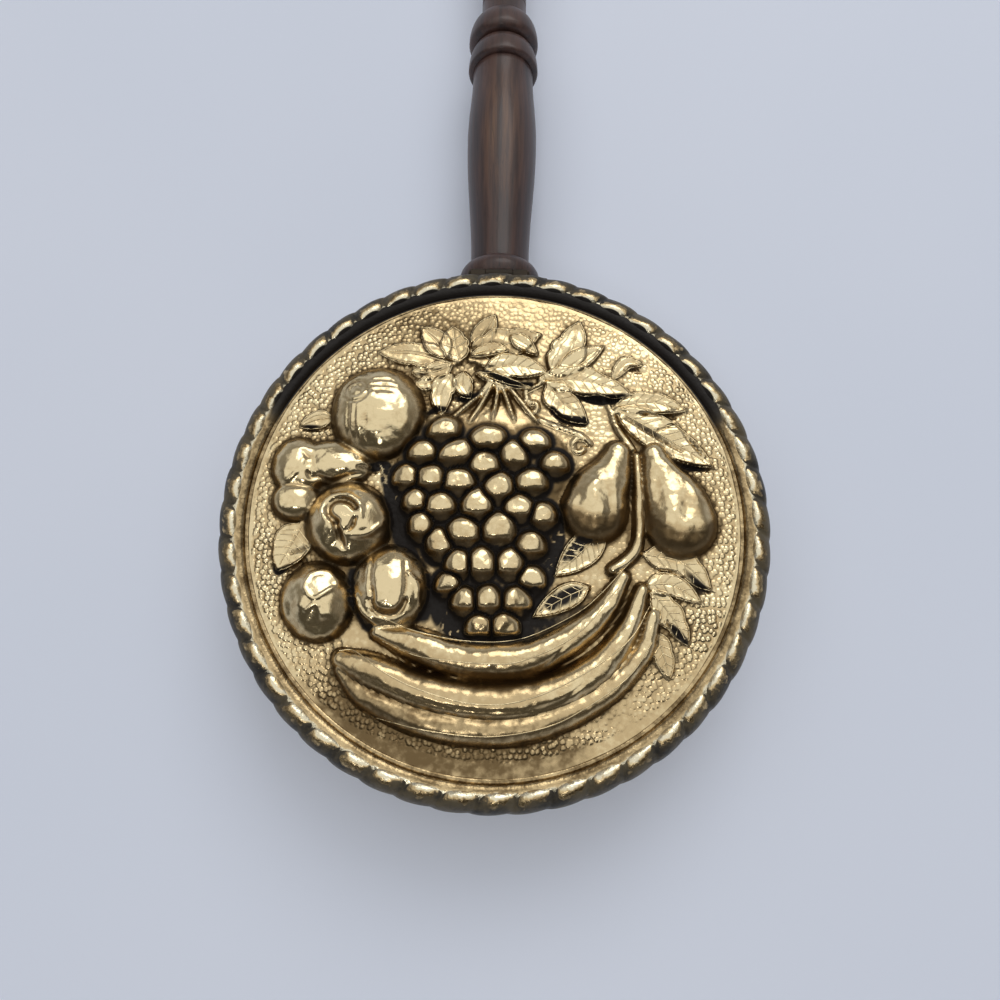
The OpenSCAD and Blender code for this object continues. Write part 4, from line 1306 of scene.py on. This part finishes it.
def section_curve(name, outline):
    """The section as a closed curve object in the XZ plane, in metres."""
    curve = bpy.data.curves.new(name, "CURVE")
    curve.dimensions = "3D"
    spline = curve.splines.new("POLY")
    spline.points.add(len(outline) - 1)
    for point, (radius, height) in zip(spline.points, outline):
        point.co = (radius * MM, 0, height * MM, 1)
    spline.use_cyclic_u = True
    thing = bpy.data.objects.new(name, curve)
    bpy.context.collection.objects.link(thing)
    return thing


def length_of(points):
    p = np.array(points)
    return float(np.hypot(*np.diff(p, axis=0).T).sum())


outer_side, inner_side = border_section()
section_length = length_of(outer_side + inner_side + outer_side[:1])
outer_share = length_of(outer_side) / section_length
section = section_curve("border_section", outer_side + inner_side)
print(f"section {section_length:.1f} mm round, {outer_share:.0%} of it outside")

# %% The tree that twists the rope
ROPE_SIZES = {
    "Steps round": ("NodeSocketInt", 1248),
    "Steps across": ("NodeSocketInt", 72),
    "Lobes": ("NodeSocketInt", 48),
    "Lobe depth": ("NodeSocketFloat", 2.0 * MM),
    "Lean": ("NodeSocketFloat", 0.7),
    "Outer share": ("NodeSocketFloat", outer_share),
    "Section": ("NodeSocketObject", section),
    "Finish": ("NodeSocketMaterial", None),
}


def new_tree(name, sizes):
    """An empty Geometry Nodes tree with a geometry input and the named sizes."""
    tree = bpy.data.node_groups.new(name, "GeometryNodeTree")
    tree.interface.new_socket("Geometry", in_out="INPUT", socket_type="NodeSocketGeometry")
    for label, (kind, _) in sizes.items():
        tree.interface.new_socket(label, in_out="INPUT", socket_type=kind)
    tree.interface.new_socket("Geometry", in_out="OUTPUT", socket_type="NodeSocketGeometry")
    given = tree.nodes.new("NodeGroupInput")
    return tree, {s.name: Sum(tree, s) for s in given.outputs if s.name}


def close_tree(tree, shape, finish):
    """Every tree ends the same way: real geometry with its material."""
    shape = node(tree, "GeometryNodeRealizeInstances", {}, {"Geometry": shape})
    shape = node(tree, "GeometryNodeSetShadeSmooth", {}, {"Geometry": shape})
    shape = node(tree, "GeometryNodeSetMaterial", {}, {"Geometry": shape, "Material": finish})
    end = tree.nodes.new("NodeGroupOutput")
    tree.links.new(shape.socket, end.inputs[0])


def run_tree(name, tree, sizes, finish):
    """Runs a tree once with its sizes and keeps the result as a plain mesh."""
    host = bpy.data.objects.new(name + "_host", bpy.data.meshes.new(name + "_host"))
    bpy.context.collection.objects.link(host)
    modifier = host.modifiers.new(tree.name, "NODES")
    modifier.node_group = tree
    sockets = {s.name: s.identifier for s in tree.interface.items_tree if s.in_out == "INPUT"}
    for label, (_, value) in sizes.items():
        modifier[sockets[label]] = finish if value is None else value
    graph = bpy.context.evaluated_depsgraph_get()
    made = bpy.data.meshes.new_from_object(host.evaluated_get(graph))
    host.modifiers.remove(modifier)
    bpy.data.objects.remove(host)
    made.name = name
    thing = bpy.data.objects.new(name, made)
    bpy.context.collection.objects.link(thing)
    return thing


def rope_tree():
    tree, given = new_tree("twisted_rope", ROPE_SIZES)
    strip = node(tree, "GeometryNodeMeshGrid", {},
                 {"Size X": 1.0, "Size Y": 1.0, "Vertices X": given["Steps round"] + 1,
                  "Vertices Y": given["Steps across"] + 1})
    across_x, across_y, _ = parts_of(tree, node(tree, "GeometryNodeInputPosition"))
    turn = (across_x + 0.5) * (2 * math.pi)
    along = across_y + 0.5
    outline = node(tree, "GeometryNodeObjectInfo", {}, {"Object": given["Section"]}, "Geometry")
    sample = node(tree, "GeometryNodeSampleCurve", {"mode": "FACTOR", "use_all_curves": True},
                  {"Curves": outline, "Factor": along}, "Position")
    radius, _, height = parts_of(tree, sample)
    share = along / given["Outer share"]
    outside = (share.ramp(0.08, 0.22) * (1 - 0.6 * share.ramp(0.38, 0.6))
               * (1 - share.ramp(0.75, 0.93)))
    twist = turn * given["Lobes"] / (2 * math.pi) + given["Lean"] * share
    lobe = twist - twist.math("FLOOR")
    skewed = lobe ** 0.72
    swollen = (skewed * math.pi).math("SINE").math("MAXIMUM", 0.0) ** 0.7
    groove = (1 - swollen) * outside
    push = groove * given["Lobe depth"]
    out_r, out_z = radius - border_c * MM, height - (border_z + 1.5) * MM
    far = (out_r * out_r + out_z * out_z) ** 0.5
    radius = radius - push * out_r / far
    height = height - push * out_z / far
    place = node(tree, "ShaderNodeCombineXYZ", {},
                 {0: radius * turn.math("COSINE"), 1: radius * turn.math("SINE"), 2: height})
    shape = node(tree, "GeometryNodeStoreNamedAttribute", {"data_type": "FLOAT", "domain": "POINT"},
                 {"Geometry": strip, "Name": "groove", "Value": groove})
    shape = node(tree, "GeometryNodeSetPosition", {}, {"Geometry": shape, "Position": place})
    shape = node(tree, "GeometryNodeMergeByDistance", {},
                 {"Geometry": shape, "Distance": 0.004 * MM})
    close_tree(tree, shape, given["Finish"])
    return tree


rope_finish = rope_brass()
rope_border = run_tree("rope_border", rope_tree(), ROPE_SIZES, rope_finish)
bpy.data.objects.remove(section)
face_outwards(rope_border)
report(rope_border)

# %% [markdown]
# ## Chased lines
#
# After pressing, the picture was chased: fine raised lines follow the leaves' edges and veins and
# the bananas' edges, and polishing keeps them pale. They are thinner than the sheet's mesh, so they
# are made as wires that lie half sunk in the sheet. Where a later leaf or a fruit covers a leaf,
# its lines stop.

# %% Where the lines run
LINES_SEEN_AT = 4
BANANA_LINES = (
    [(-42.5, -47.5), (-29.4, -52.9), (-16.3, -54.8), (-3.1, -55.9), (10, -55), (31, -45.2),
     (48, -27)],
    [(-43, -38.5), (-29.4, -43.9), (-9.7, -47.4), (10, -46.5), (31, -37.2), (41.6, -29),
     (53, -17)],
    [(-59, -51), (-53, -51), (-40, -59.6), (-26.7, -65.6), (-8.4, -70.3), (10, -69.4), (31, -61),
     (50.8, -47.5), (61, -33)],
    [(-46, -75), (-24, -80), (-2, -82), (18, -79), (32, -73), (50, -61), (60, -48)])


def on_relief(line, spacing=0.6):
    """A line's points at even spacing, on the relief, in the lid's own frame."""
    line = np.asarray(line, float)
    reach = np.concatenate([[0], np.cumsum(np.hypot(*np.diff(line, axis=0).T))])
    steps = np.linspace(0, reach[-1], max(3, int(reach[-1] / spacing)))
    return np.stack([np.interp(steps, reach, line[:, c]) for c in (0, 1)], 1)


def pixel(p):
    return int((p[1] + half) / PITCH), int((p[0] + half) / PITCH)


def line_points():
    """All lines as lists of (x, y, z), split where they are covered."""
    runs = []
    smooth = blurred(relief, 0.35)
    for leaf_number, lines in enumerate(chased):
        for line in lines:
            run = []
            for p in on_relief(line):
                if owner[pixel(p)] == leaf_number:
                    run.append((*p, smooth[pixel(p)]))
                else:
                    runs.append(run)
                    run = []
            runs.append(run)
    for line in BANANA_LINES + tuple([point[:2] for point in tendril] for tendril in TENDRILS):
        path = smooth_path([seen(x, y, LINES_SEEN_AT) for x, y in line], 30)
        runs.append([(*p, smooth[pixel(p)]) for p in on_relief(path, 0.9)])
    return [run for run in runs if len(run) > 3]


runs = line_points()
print(f"{len(runs)} chased lines with {sum(map(len, runs))} points")

# %% Wires along the lines
def line_mesh(runs):
    """The runs as bare edges, turned with the picture."""
    turn = math.radians(PICTURE_TURN)
    c, s = math.cos(turn), math.sin(turn)
    points, edges = [], []
    for run in runs:
        edges += [(len(points) + k, len(points) + k + 1) for k in range(len(run) - 1)]
        points += [(x * c - y * s, x * s + y * c, field_z + z) for x, y, z in run]
    mesh = bpy.data.meshes.new("line_mesh")
    mesh.from_pydata((np.array(points) * MM).tolist(), edges, [])
    thing = bpy.data.objects.new("line_mesh", mesh)
    bpy.context.collection.objects.link(thing)
    return thing


bare_lines = line_mesh(runs)
LINE_SIZES = {
    "Lines": ("NodeSocketObject", bare_lines),
    "Wire radius": ("NodeSocketFloat", 0.26 * MM),
    "Sides": ("NodeSocketInt", 5),
    "Finish": ("NodeSocketMaterial", None),
}


def line_tree():
    tree, given = new_tree("chased_wires", LINE_SIZES)
    lines = node(tree, "GeometryNodeObjectInfo", {}, {"Object": given["Lines"]}, "Geometry")
    curve = node(tree, "GeometryNodeMeshToCurve", {}, {"Mesh": lines})
    ring = node(tree, "GeometryNodeCurvePrimitiveCircle", {},
                {"Resolution": given["Sides"], "Radius": given["Wire radius"]})
    wires = node(tree, "GeometryNodeCurveToMesh", {},
                 {"Curve": curve, "Profile Curve": ring, "Fill Caps": True})
    close_tree(tree, wires, given["Finish"])
    return tree


chased_lines = run_tree("chased_lines", line_tree(), LINE_SIZES, lid_finish)
bpy.data.objects.remove(bare_lines)
report(chased_lines)

# %% [markdown]
# ## The bowl
#
# The bowl is spun from a disc of brass on a lathe: a flat base, a soft bend, a plain cone for a
# wall, and a rim that is rolled round a steel wire to stiffen it. So the visual bowl is one outline
# of the sheet, outside and inside, turned round the middle. The rolled rim sits inside the lid's
# border, where the hollow of the rope leaves room for it.

# %% The bowl's outline
base_r = 82
bend_r = 12
wire_r = 1.3
lid_gap = 0.3
bead_r = wire_r + sheet_t
bead_a = math.radians(59)
bead_reach = border_r - sheet_t - lid_gap - bead_r
bead_c = border_c + bead_reach * math.cos(bead_a)
bead_z = border_z + bead_reach * math.sin(bead_a)
wall_top_r = bead_c - wire_r
wall_run = math.hypot(wall_top_r - base_r, bead_z - bend_r)
wall_a = math.acos(bend_r / wall_run) - math.atan2(bead_z - bend_r, wall_top_r - base_r)
wall_deg = math.degrees(wall_a)


def wall_at(z):
    """The wall's outer radius at a height."""
    above_bend = z - bend_r + bend_r * math.sin(wall_a)
    return base_r + bend_r * math.cos(wall_a) + above_bend * math.tan(wall_a)


def wall_points(d, n):
    """The straight wall, set in by d, from the bend to the rolled rim."""
    foot_z = bend_r - (bend_r - d) * math.sin(wall_a)
    return [(wall_at(z) - d / math.cos(wall_a), z)
            for z in np.linspace(foot_z, bead_z - 1.2, n)][1:]


def bowl_outline():
    floor_out = [(0, 0.35), (base_r * 0.35, 0.25), (base_r * 0.8, 0.1), (base_r - 1, 0)]
    outside = arc(base_r, bend_r, bend_r, bend_r, -88, -wall_deg, 14) + wall_points(0, 10)
    rim = arc(bead_c, bead_z, bead_r, bead_r, -115, 190, 30)
    inner_bend = bend_r - sheet_t
    inside = (wall_points(sheet_t, 10)[::-1]
              + arc(base_r, bend_r, inner_bend, inner_bend, -wall_deg, -88, 14))
    floor_in = [(base_r - 1, sheet_t), (base_r * 0.8, sheet_t + 0.1),
                (base_r * 0.35, sheet_t + 0.25)]
    return floor_out + outside + rim + inside + floor_in + [(0, sheet_t + 0.35)]


BOWL_STEPS = 256
bowl = lathe("spun_bowl", bowl_outline(), BOWL_STEPS, upright)
report(bowl)

# %% [markdown]
# ## The turned handle
#
# The handle is three lengths of wood that screw together on steel studs, so that it packs short. A
# turner works from beads, hollows and long swells, and the outline below is written in those words:
# `bead` rises quickly on the pan's side and runs out slowly towards the hand, as on the real
# handle. The bores for the insert, the bolt and the studs are part of the outline, because a lathe
# drills them too.

# %% Beads and bores
FRONT_Y = lid_r + 4.5
LENGTHS = ("handle_lower", "handle_middle", "handle_upper")
LOWER_END, MIDDLE_END, UPPER_END = (frame_box(length)[1][1] for length in LENGTHS)
NECK_R = 11.4
SLIM_R = NECK_R - 1.2
STUD_R, STUD_HOLE = 4, 21
BOLT_BORE = 3.2
INSERT_R, INSERT_LEN = 5, 20
SCREW_R, SCREW_HOLE = 2, 21
TENON_R, TENON_Y = 9, FRONT_Y - 8
BOLT_END = TENON_Y + INSERT_LEN + 4
WOOD_STEPS = 96
EDGE = 0.5


def profile(points):
    """Arc points come as (place, radius) and the lathe wants (radius, place)."""
    return [(r, y) for y, r in points]


def bead(y, r0, r1, r2, front, back):
    """Rises from r0 to r1 over the front length, then falls to r2 over the back length."""
    return profile(arc(y, r0, front, r1 - r0, 178, 90, 14) + arc(y, r2, back, r1 - r2, 86, 4, 18))


def bore_in(radius, y, depth):
    """A blind bore that opens at y and goes depth further in."""
    return [(0, y + depth), (radius, y + depth), (radius, y)]


def bore_out(radius, y, depth):
    return [(radius, y), (radius, y - depth), (0, y - depth)]


# %% The lower piece: tenon, collar, barrel, two beads and the neck
collar_y, collar_r, collar_edge = FRONT_Y + 6.5, 18.8, 6
barrel_y0 = collar_y + 7
beads_y = LOWER_END - 43.5
barrel_mid = barrel_y0 + 0.63 * (beads_y - barrel_y0)
top_r, barrel_r, notch_r = 15.1, 17.0, 13.2
lower_outline = ([(0, BOLT_END), (BOLT_BORE, BOLT_END), (BOLT_BORE, TENON_Y + INSERT_LEN)]
                 + [(INSERT_R, TENON_Y + INSERT_LEN), (INSERT_R, TENON_Y)]
                 + [(TENON_R - EDGE, TENON_Y), (TENON_R, TENON_Y + EDGE), (TENON_R, FRONT_Y)]
                 + profile(arc(collar_y, collar_r - collar_edge, 6.5, collar_edge, 180, 14, 26))
                 + [(14.0, barrel_y0 - 0.35), (13.62, barrel_y0 + 0.2)]
                 + swell(barrel_y0 + 1.2, 13.7, barrel_mid, barrel_r, 26)
                 + swell(barrel_mid + 2, barrel_r, beads_y, top_r, 16)
                 + bead(beads_y + 2.6, top_r - 0.3, 17.6, notch_r, 2, 12)
                 + bead(beads_y + 19.1, notch_r, 17.7, NECK_R, 4, 12.8)
                 + [(NECK_R, beads_y + 33), (NECK_R, LOWER_END - EDGE), (NECK_R - EDGE, LOWER_END)]
                 + bore_out(STUD_R, LOWER_END, STUD_HOLE))
handle_lower = lathe("turned_lower", lower_outline, WOOD_STEPS, on_handle)
report(handle_lower)

# %% The middle piece: one long swell
middle_y, middle_r = LOWER_END + (MIDDLE_END - LOWER_END) * 0.45, NECK_R + 0.8
middle_outline = (bore_in(STUD_R, LOWER_END, STUD_HOLE)
                  + [(NECK_R - EDGE, LOWER_END)]
                  + swell(LOWER_END + EDGE, NECK_R, middle_y, middle_r, 20)
                  + swell(middle_y + 3, middle_r, MIDDLE_END - 6, SLIM_R, 20)
                  + [(SLIM_R, MIDDLE_END - EDGE), (SLIM_R - EDGE, MIDDLE_END)]
                  + bore_out(STUD_R, MIDDLE_END, STUD_HOLE))
handle_middle = lathe("turned_middle", middle_outline, WOOD_STEPS, on_handle)
report(handle_middle)

# %% The upper piece: two small beads, the grip and the knob
grip_y, grip_end = MIDDLE_END + 26, UPPER_END - 34
grip_mid, grip_r = grip_y + (grip_end - grip_y) * 0.55, SLIM_R + 3.2
knob_y, knob_r, pad_r = UPPER_END - 16.5, 13.5, 6.5
upper_outline = (bore_in(STUD_R, MIDDLE_END, STUD_HOLE)
                 + [(SLIM_R - EDGE, MIDDLE_END), (SLIM_R, MIDDLE_END + EDGE)]
                 + bead(MIDDLE_END + 7, SLIM_R + 0.4, SLIM_R + 4.4, SLIM_R + 0.4, 5.5, 5.5)
                 + bead(MIDDLE_END + 18.5, SLIM_R + 0.4, SLIM_R + 3.4, SLIM_R + 0.4, 4.5, 4.5)
                 + swell(grip_y, SLIM_R, grip_mid, grip_r, 22)
                 + swell(grip_mid + 2, grip_r, grip_end, SLIM_R - 1.2, 18)
                 + profile(arc(knob_y, 0, knob_r, knob_r, 142, 32, 30))
                 + [(pad_r, UPPER_END - 4.6), (pad_r, UPPER_END - EDGE), (pad_r - EDGE, UPPER_END)]
                 + bore_out(SCREW_R, UPPER_END, SCREW_HOLE))
handle_upper = lathe("turned_upper", upper_outline, WOOD_STEPS, on_handle)
report(handle_upper)

# %% [markdown]
# ## The hanging ring
#
# A ring bent from round wire is a small circle carried round a large one. Both circles are closed,
# so the faces wrap round in both directions and nothing is left open.

# %% A ring of round wire
RING_STEPS, WIRE_STEPS = 96, 24


def wire_ring(name, centre, ring_r, wire_radius):
    """A ring in the XZ plane round centre, in millimetres."""
    points, faces = [], []
    for i in range(RING_STEPS):
        turn = 2 * math.pi * i / RING_STEPS
        for j in range(WIRE_STEPS):
            round_wire = 2 * math.pi * j / WIRE_STEPS
            reach = ring_r + wire_radius * math.cos(round_wire)
            points.append((centre[0] + reach * math.sin(turn),
                           centre[1] + wire_radius * math.sin(round_wire),
                           centre[2] + reach * math.cos(turn)))
            here, after = i * WIRE_STEPS, (i + 1) % RING_STEPS * WIRE_STEPS
            j2 = (j + 1) % WIRE_STEPS
            faces.append((here + j, here + j2, after + j2, after + j))
    thing = make_mesh(name, points, faces)
    face_outwards(thing)
    return thing


ring_low, ring_high = frame_box("hanging_ring")
ring_wire_r = (ring_high[1] - ring_low[1]) / 2
ring_centre = [(a + b) / 2 for a, b in zip(ring_low, ring_high)]
ring_r = (ring_high[0] - ring_low[0]) / 2 - ring_wire_r
ring = wire_ring("wire_ring", ring_centre, ring_r, ring_wire_r)
report(ring)

# %% [markdown]
# ## Putting the finishes on, and saying what moves with what
#
# The modelled pieces stand for nodes of the frame, which keep working unseen in the motion model.
# The small fittings are right as they are and only get a finish. Every modelled piece rides on the
# body that carries it: the lid's three pieces on the lid, the ring on itself, all the rest on the
# pan.

# %% What each piece rides on, what it stands for and its slot
PIECES = (
    (lid_field, "lid", "lid_cover", "lid_brass"),
    (rope_border, "lid", "lid_cover", "lid_brass"),
    (chased_lines, "lid", "lid_cover", "lid_brass"),
    (bowl, "pan", "pan_bowl", "pan_brass"),
    (ring, "ring", "hanging_ring", "fitting_brass"),
    (handle_lower, "pan", "handle_lower", "handle_wood"),
    (handle_middle, "pan", "handle_middle", "handle_wood"),
    (handle_upper, "pan", "handle_upper", "handle_wood"))
replaced = {stands_for for _, _, stands_for, _ in PIECES}
print(f"{len(PIECES)} modelled pieces stand for {sorted(replaced)}")

# %% Finishes
bowl_finish = sheet_brass("bowl_brass", 0.35)
fitting_finish = sheet_brass("fitting_brass_aged", 0.5)
# the hinge sits in the dark gap between the rim and the handle's collar: its darkening is dark
# patina and painted shade
hinge_shade_finish = sheet_brass("hinge_brass_patina_and_shade", 1.0, 0.75)
steel_finish = zinc_steel()
wood_finish = walnut()
bowl.data.materials.append(bowl_finish)
ring.data.materials.append(fitting_finish)
for wooden in (handle_lower, handle_middle, handle_upper):
    wooden.data.materials.append(wood_finish)

STEEL_NODES = ("rim_wire", "handle_bolt", "middle_stud", "upper_stud")
HINGE_NODES = ("hinge_leaf_pan", "hinge_leaf_lid", "hinge_pin", "lid_leaf_rivets")
node_finishes = dict.fromkeys(STEEL_NODES, steel_finish) | dict.fromkeys(HINGE_NODES, hinge_shade_finish)
for name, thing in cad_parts.items():
    if name not in replaced:
        for slot in thing.material_slots:
            slot.material = node_finishes.get(name, fitting_finish)
print("finished nodes:", sorted(set(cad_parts) - replaced))

# %% Bodies and replaced nodes
for thing, body, stands_for, slot in PIECES:
    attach(thing, body)
    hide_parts(stands_for)
print("pieces:", [p[0].name for p in PIECES])

# %% [markdown]
# ## Floor, light and camera
#
# Polished metal is a mirror: it looks like what stands round it. A pale ceiling gives the fruit its
# pale patches, and a room that is brighter behind the handle and dim in front gives every form its
# dark side. Two soft round lamps add the glints. Low down all round, the room is a plain pale
# backdrop, which is what other views see past the floor, and the metal mirrors it too. The
# photograph was taken by hand from close above, so the lens is short and looks down a little
# aslant.

# %% A pale floor
FLOOR_HALF = 9000.0
FLOOR_SHADES = colour(0.765, 0.82, 0.95), colour(0.795, 0.845, 0.97)


def pale_floor():
    material, tree, shader = start_finish("pale_table")
    place = place_of(tree)
    blotch = noise(tree, place, 2.5, 2.0)
    tint = mixed(tree, blotch.ramp(0.3, 0.7), *FLOOR_SHADES)
    feed(tree, shader, Base_Color=tint, Roughness=0.55, Specular_IOR_Level=0.3)
    corners = [(FLOOR_HALF * x, FLOOR_HALF * y, 0) for x, y in ((-1, -1), (1, -1), (1, 1), (-1, 1))]
    floor = make_mesh("floor", corners, [(0, 1, 2, 3)])
    floor.data.materials.append(material)
    return floor


floor = pale_floor()

# %% The room: a soft ceiling light, a pale backdrop and a dim side in front of the handle
CEILING = colour(0.94, 0.94, 0.93)
BACKDROP = colour(0.54, 0.565, 0.63)
ROOM_BACK = colour(0.25, 0.24, 0.23)
ROOM_FRONT = colour(0.075, 0.070, 0.060)


def light_room():
    world = bpy.data.worlds.new("room")
    bpy.context.scene.world = world
    world.use_nodes = True
    tree = world.node_tree
    tree.nodes.clear()
    way = node(tree, "ShaderNodeTexCoord", {}, {}, "Generated")
    x, y, z = parts_of(tree, way)
    up = z.math("MAXIMUM", 0.001)
    ceiling = 1 - (x / up).math("ABSOLUTE").ramp(0.85, 1.15)
    ceiling = ceiling * (1 - (y / up - 0.4).math("ABSOLUTE").ramp(0.75, 0.95))
    shade = mixed(tree, (y + 0.3 * z).ramp(-0.25, 0.5), ROOM_FRONT, ROOM_BACK)
    shade = mixed(tree, z.ramp(0.12, 0.5), BACKDROP, shade)
    shade = mixed(tree, ceiling, shade, CEILING)
    back = node(tree, "ShaderNodeBackground", {}, {"Color": shade, "Strength": 1.0})
    out = tree.nodes.new("ShaderNodeOutputWorld")
    tree.links.new(back.socket, out.inputs[0])


light_room()

# %% Two soft lamps
LAMP_AIM = (0, 0, 60)
LAMPS = {"window_lamp": ((250, 1100, 1300), 1000, 4.6),
         "small_lamp": ((-160, -760, 1250), 220, 1.0)}


def soft_lamp(name, place, aim, wide, power):
    """A round lamp at a place, turned towards its aim, with its width in millimetres and watts."""
    lamp = bpy.data.lights.new(name, "AREA")
    lamp.shape = "DISK"
    lamp.size = wide * MM
    lamp.energy = power
    thing = bpy.data.objects.new(name, lamp)
    bpy.context.collection.objects.link(thing)
    thing.location = [v * MM for v in place]
    from_to = np.array(aim, float) - np.array(place, float)
    yaw = math.atan2(from_to[1], from_to[0])
    tilt = math.acos(-from_to[2] / np.linalg.norm(from_to))
    thing.rotation_euler = (0, -tilt, yaw)


for name, (place, wide, power) in LAMPS.items():
    soft_lamp(name, place, LAMP_AIM, wide, power)
print("lamps:", list(LAMPS))

# %% The camera
CAMERA_PLACE = (3.16, -63.57, 346.08)
CAMERA_TILT, CAMERA_TURN = 14.02, 0.9
SENSOR, LENS = 36, 26.676
camera_data = bpy.data.cameras.new("camera")
camera_data.sensor_width = SENSOR
camera_data.lens = LENS
camera_data.clip_start = 0.02
camera = bpy.data.objects.new("camera", camera_data)
bpy.context.collection.objects.link(camera)
camera.location = [v * MM for v in CAMERA_PLACE]
camera.rotation_euler = (math.radians(CAMERA_TILT), 0, math.radians(CAMERA_TURN))
bpy.context.scene.camera = camera
bpy.context.scene.view_settings.view_transform = "Standard"
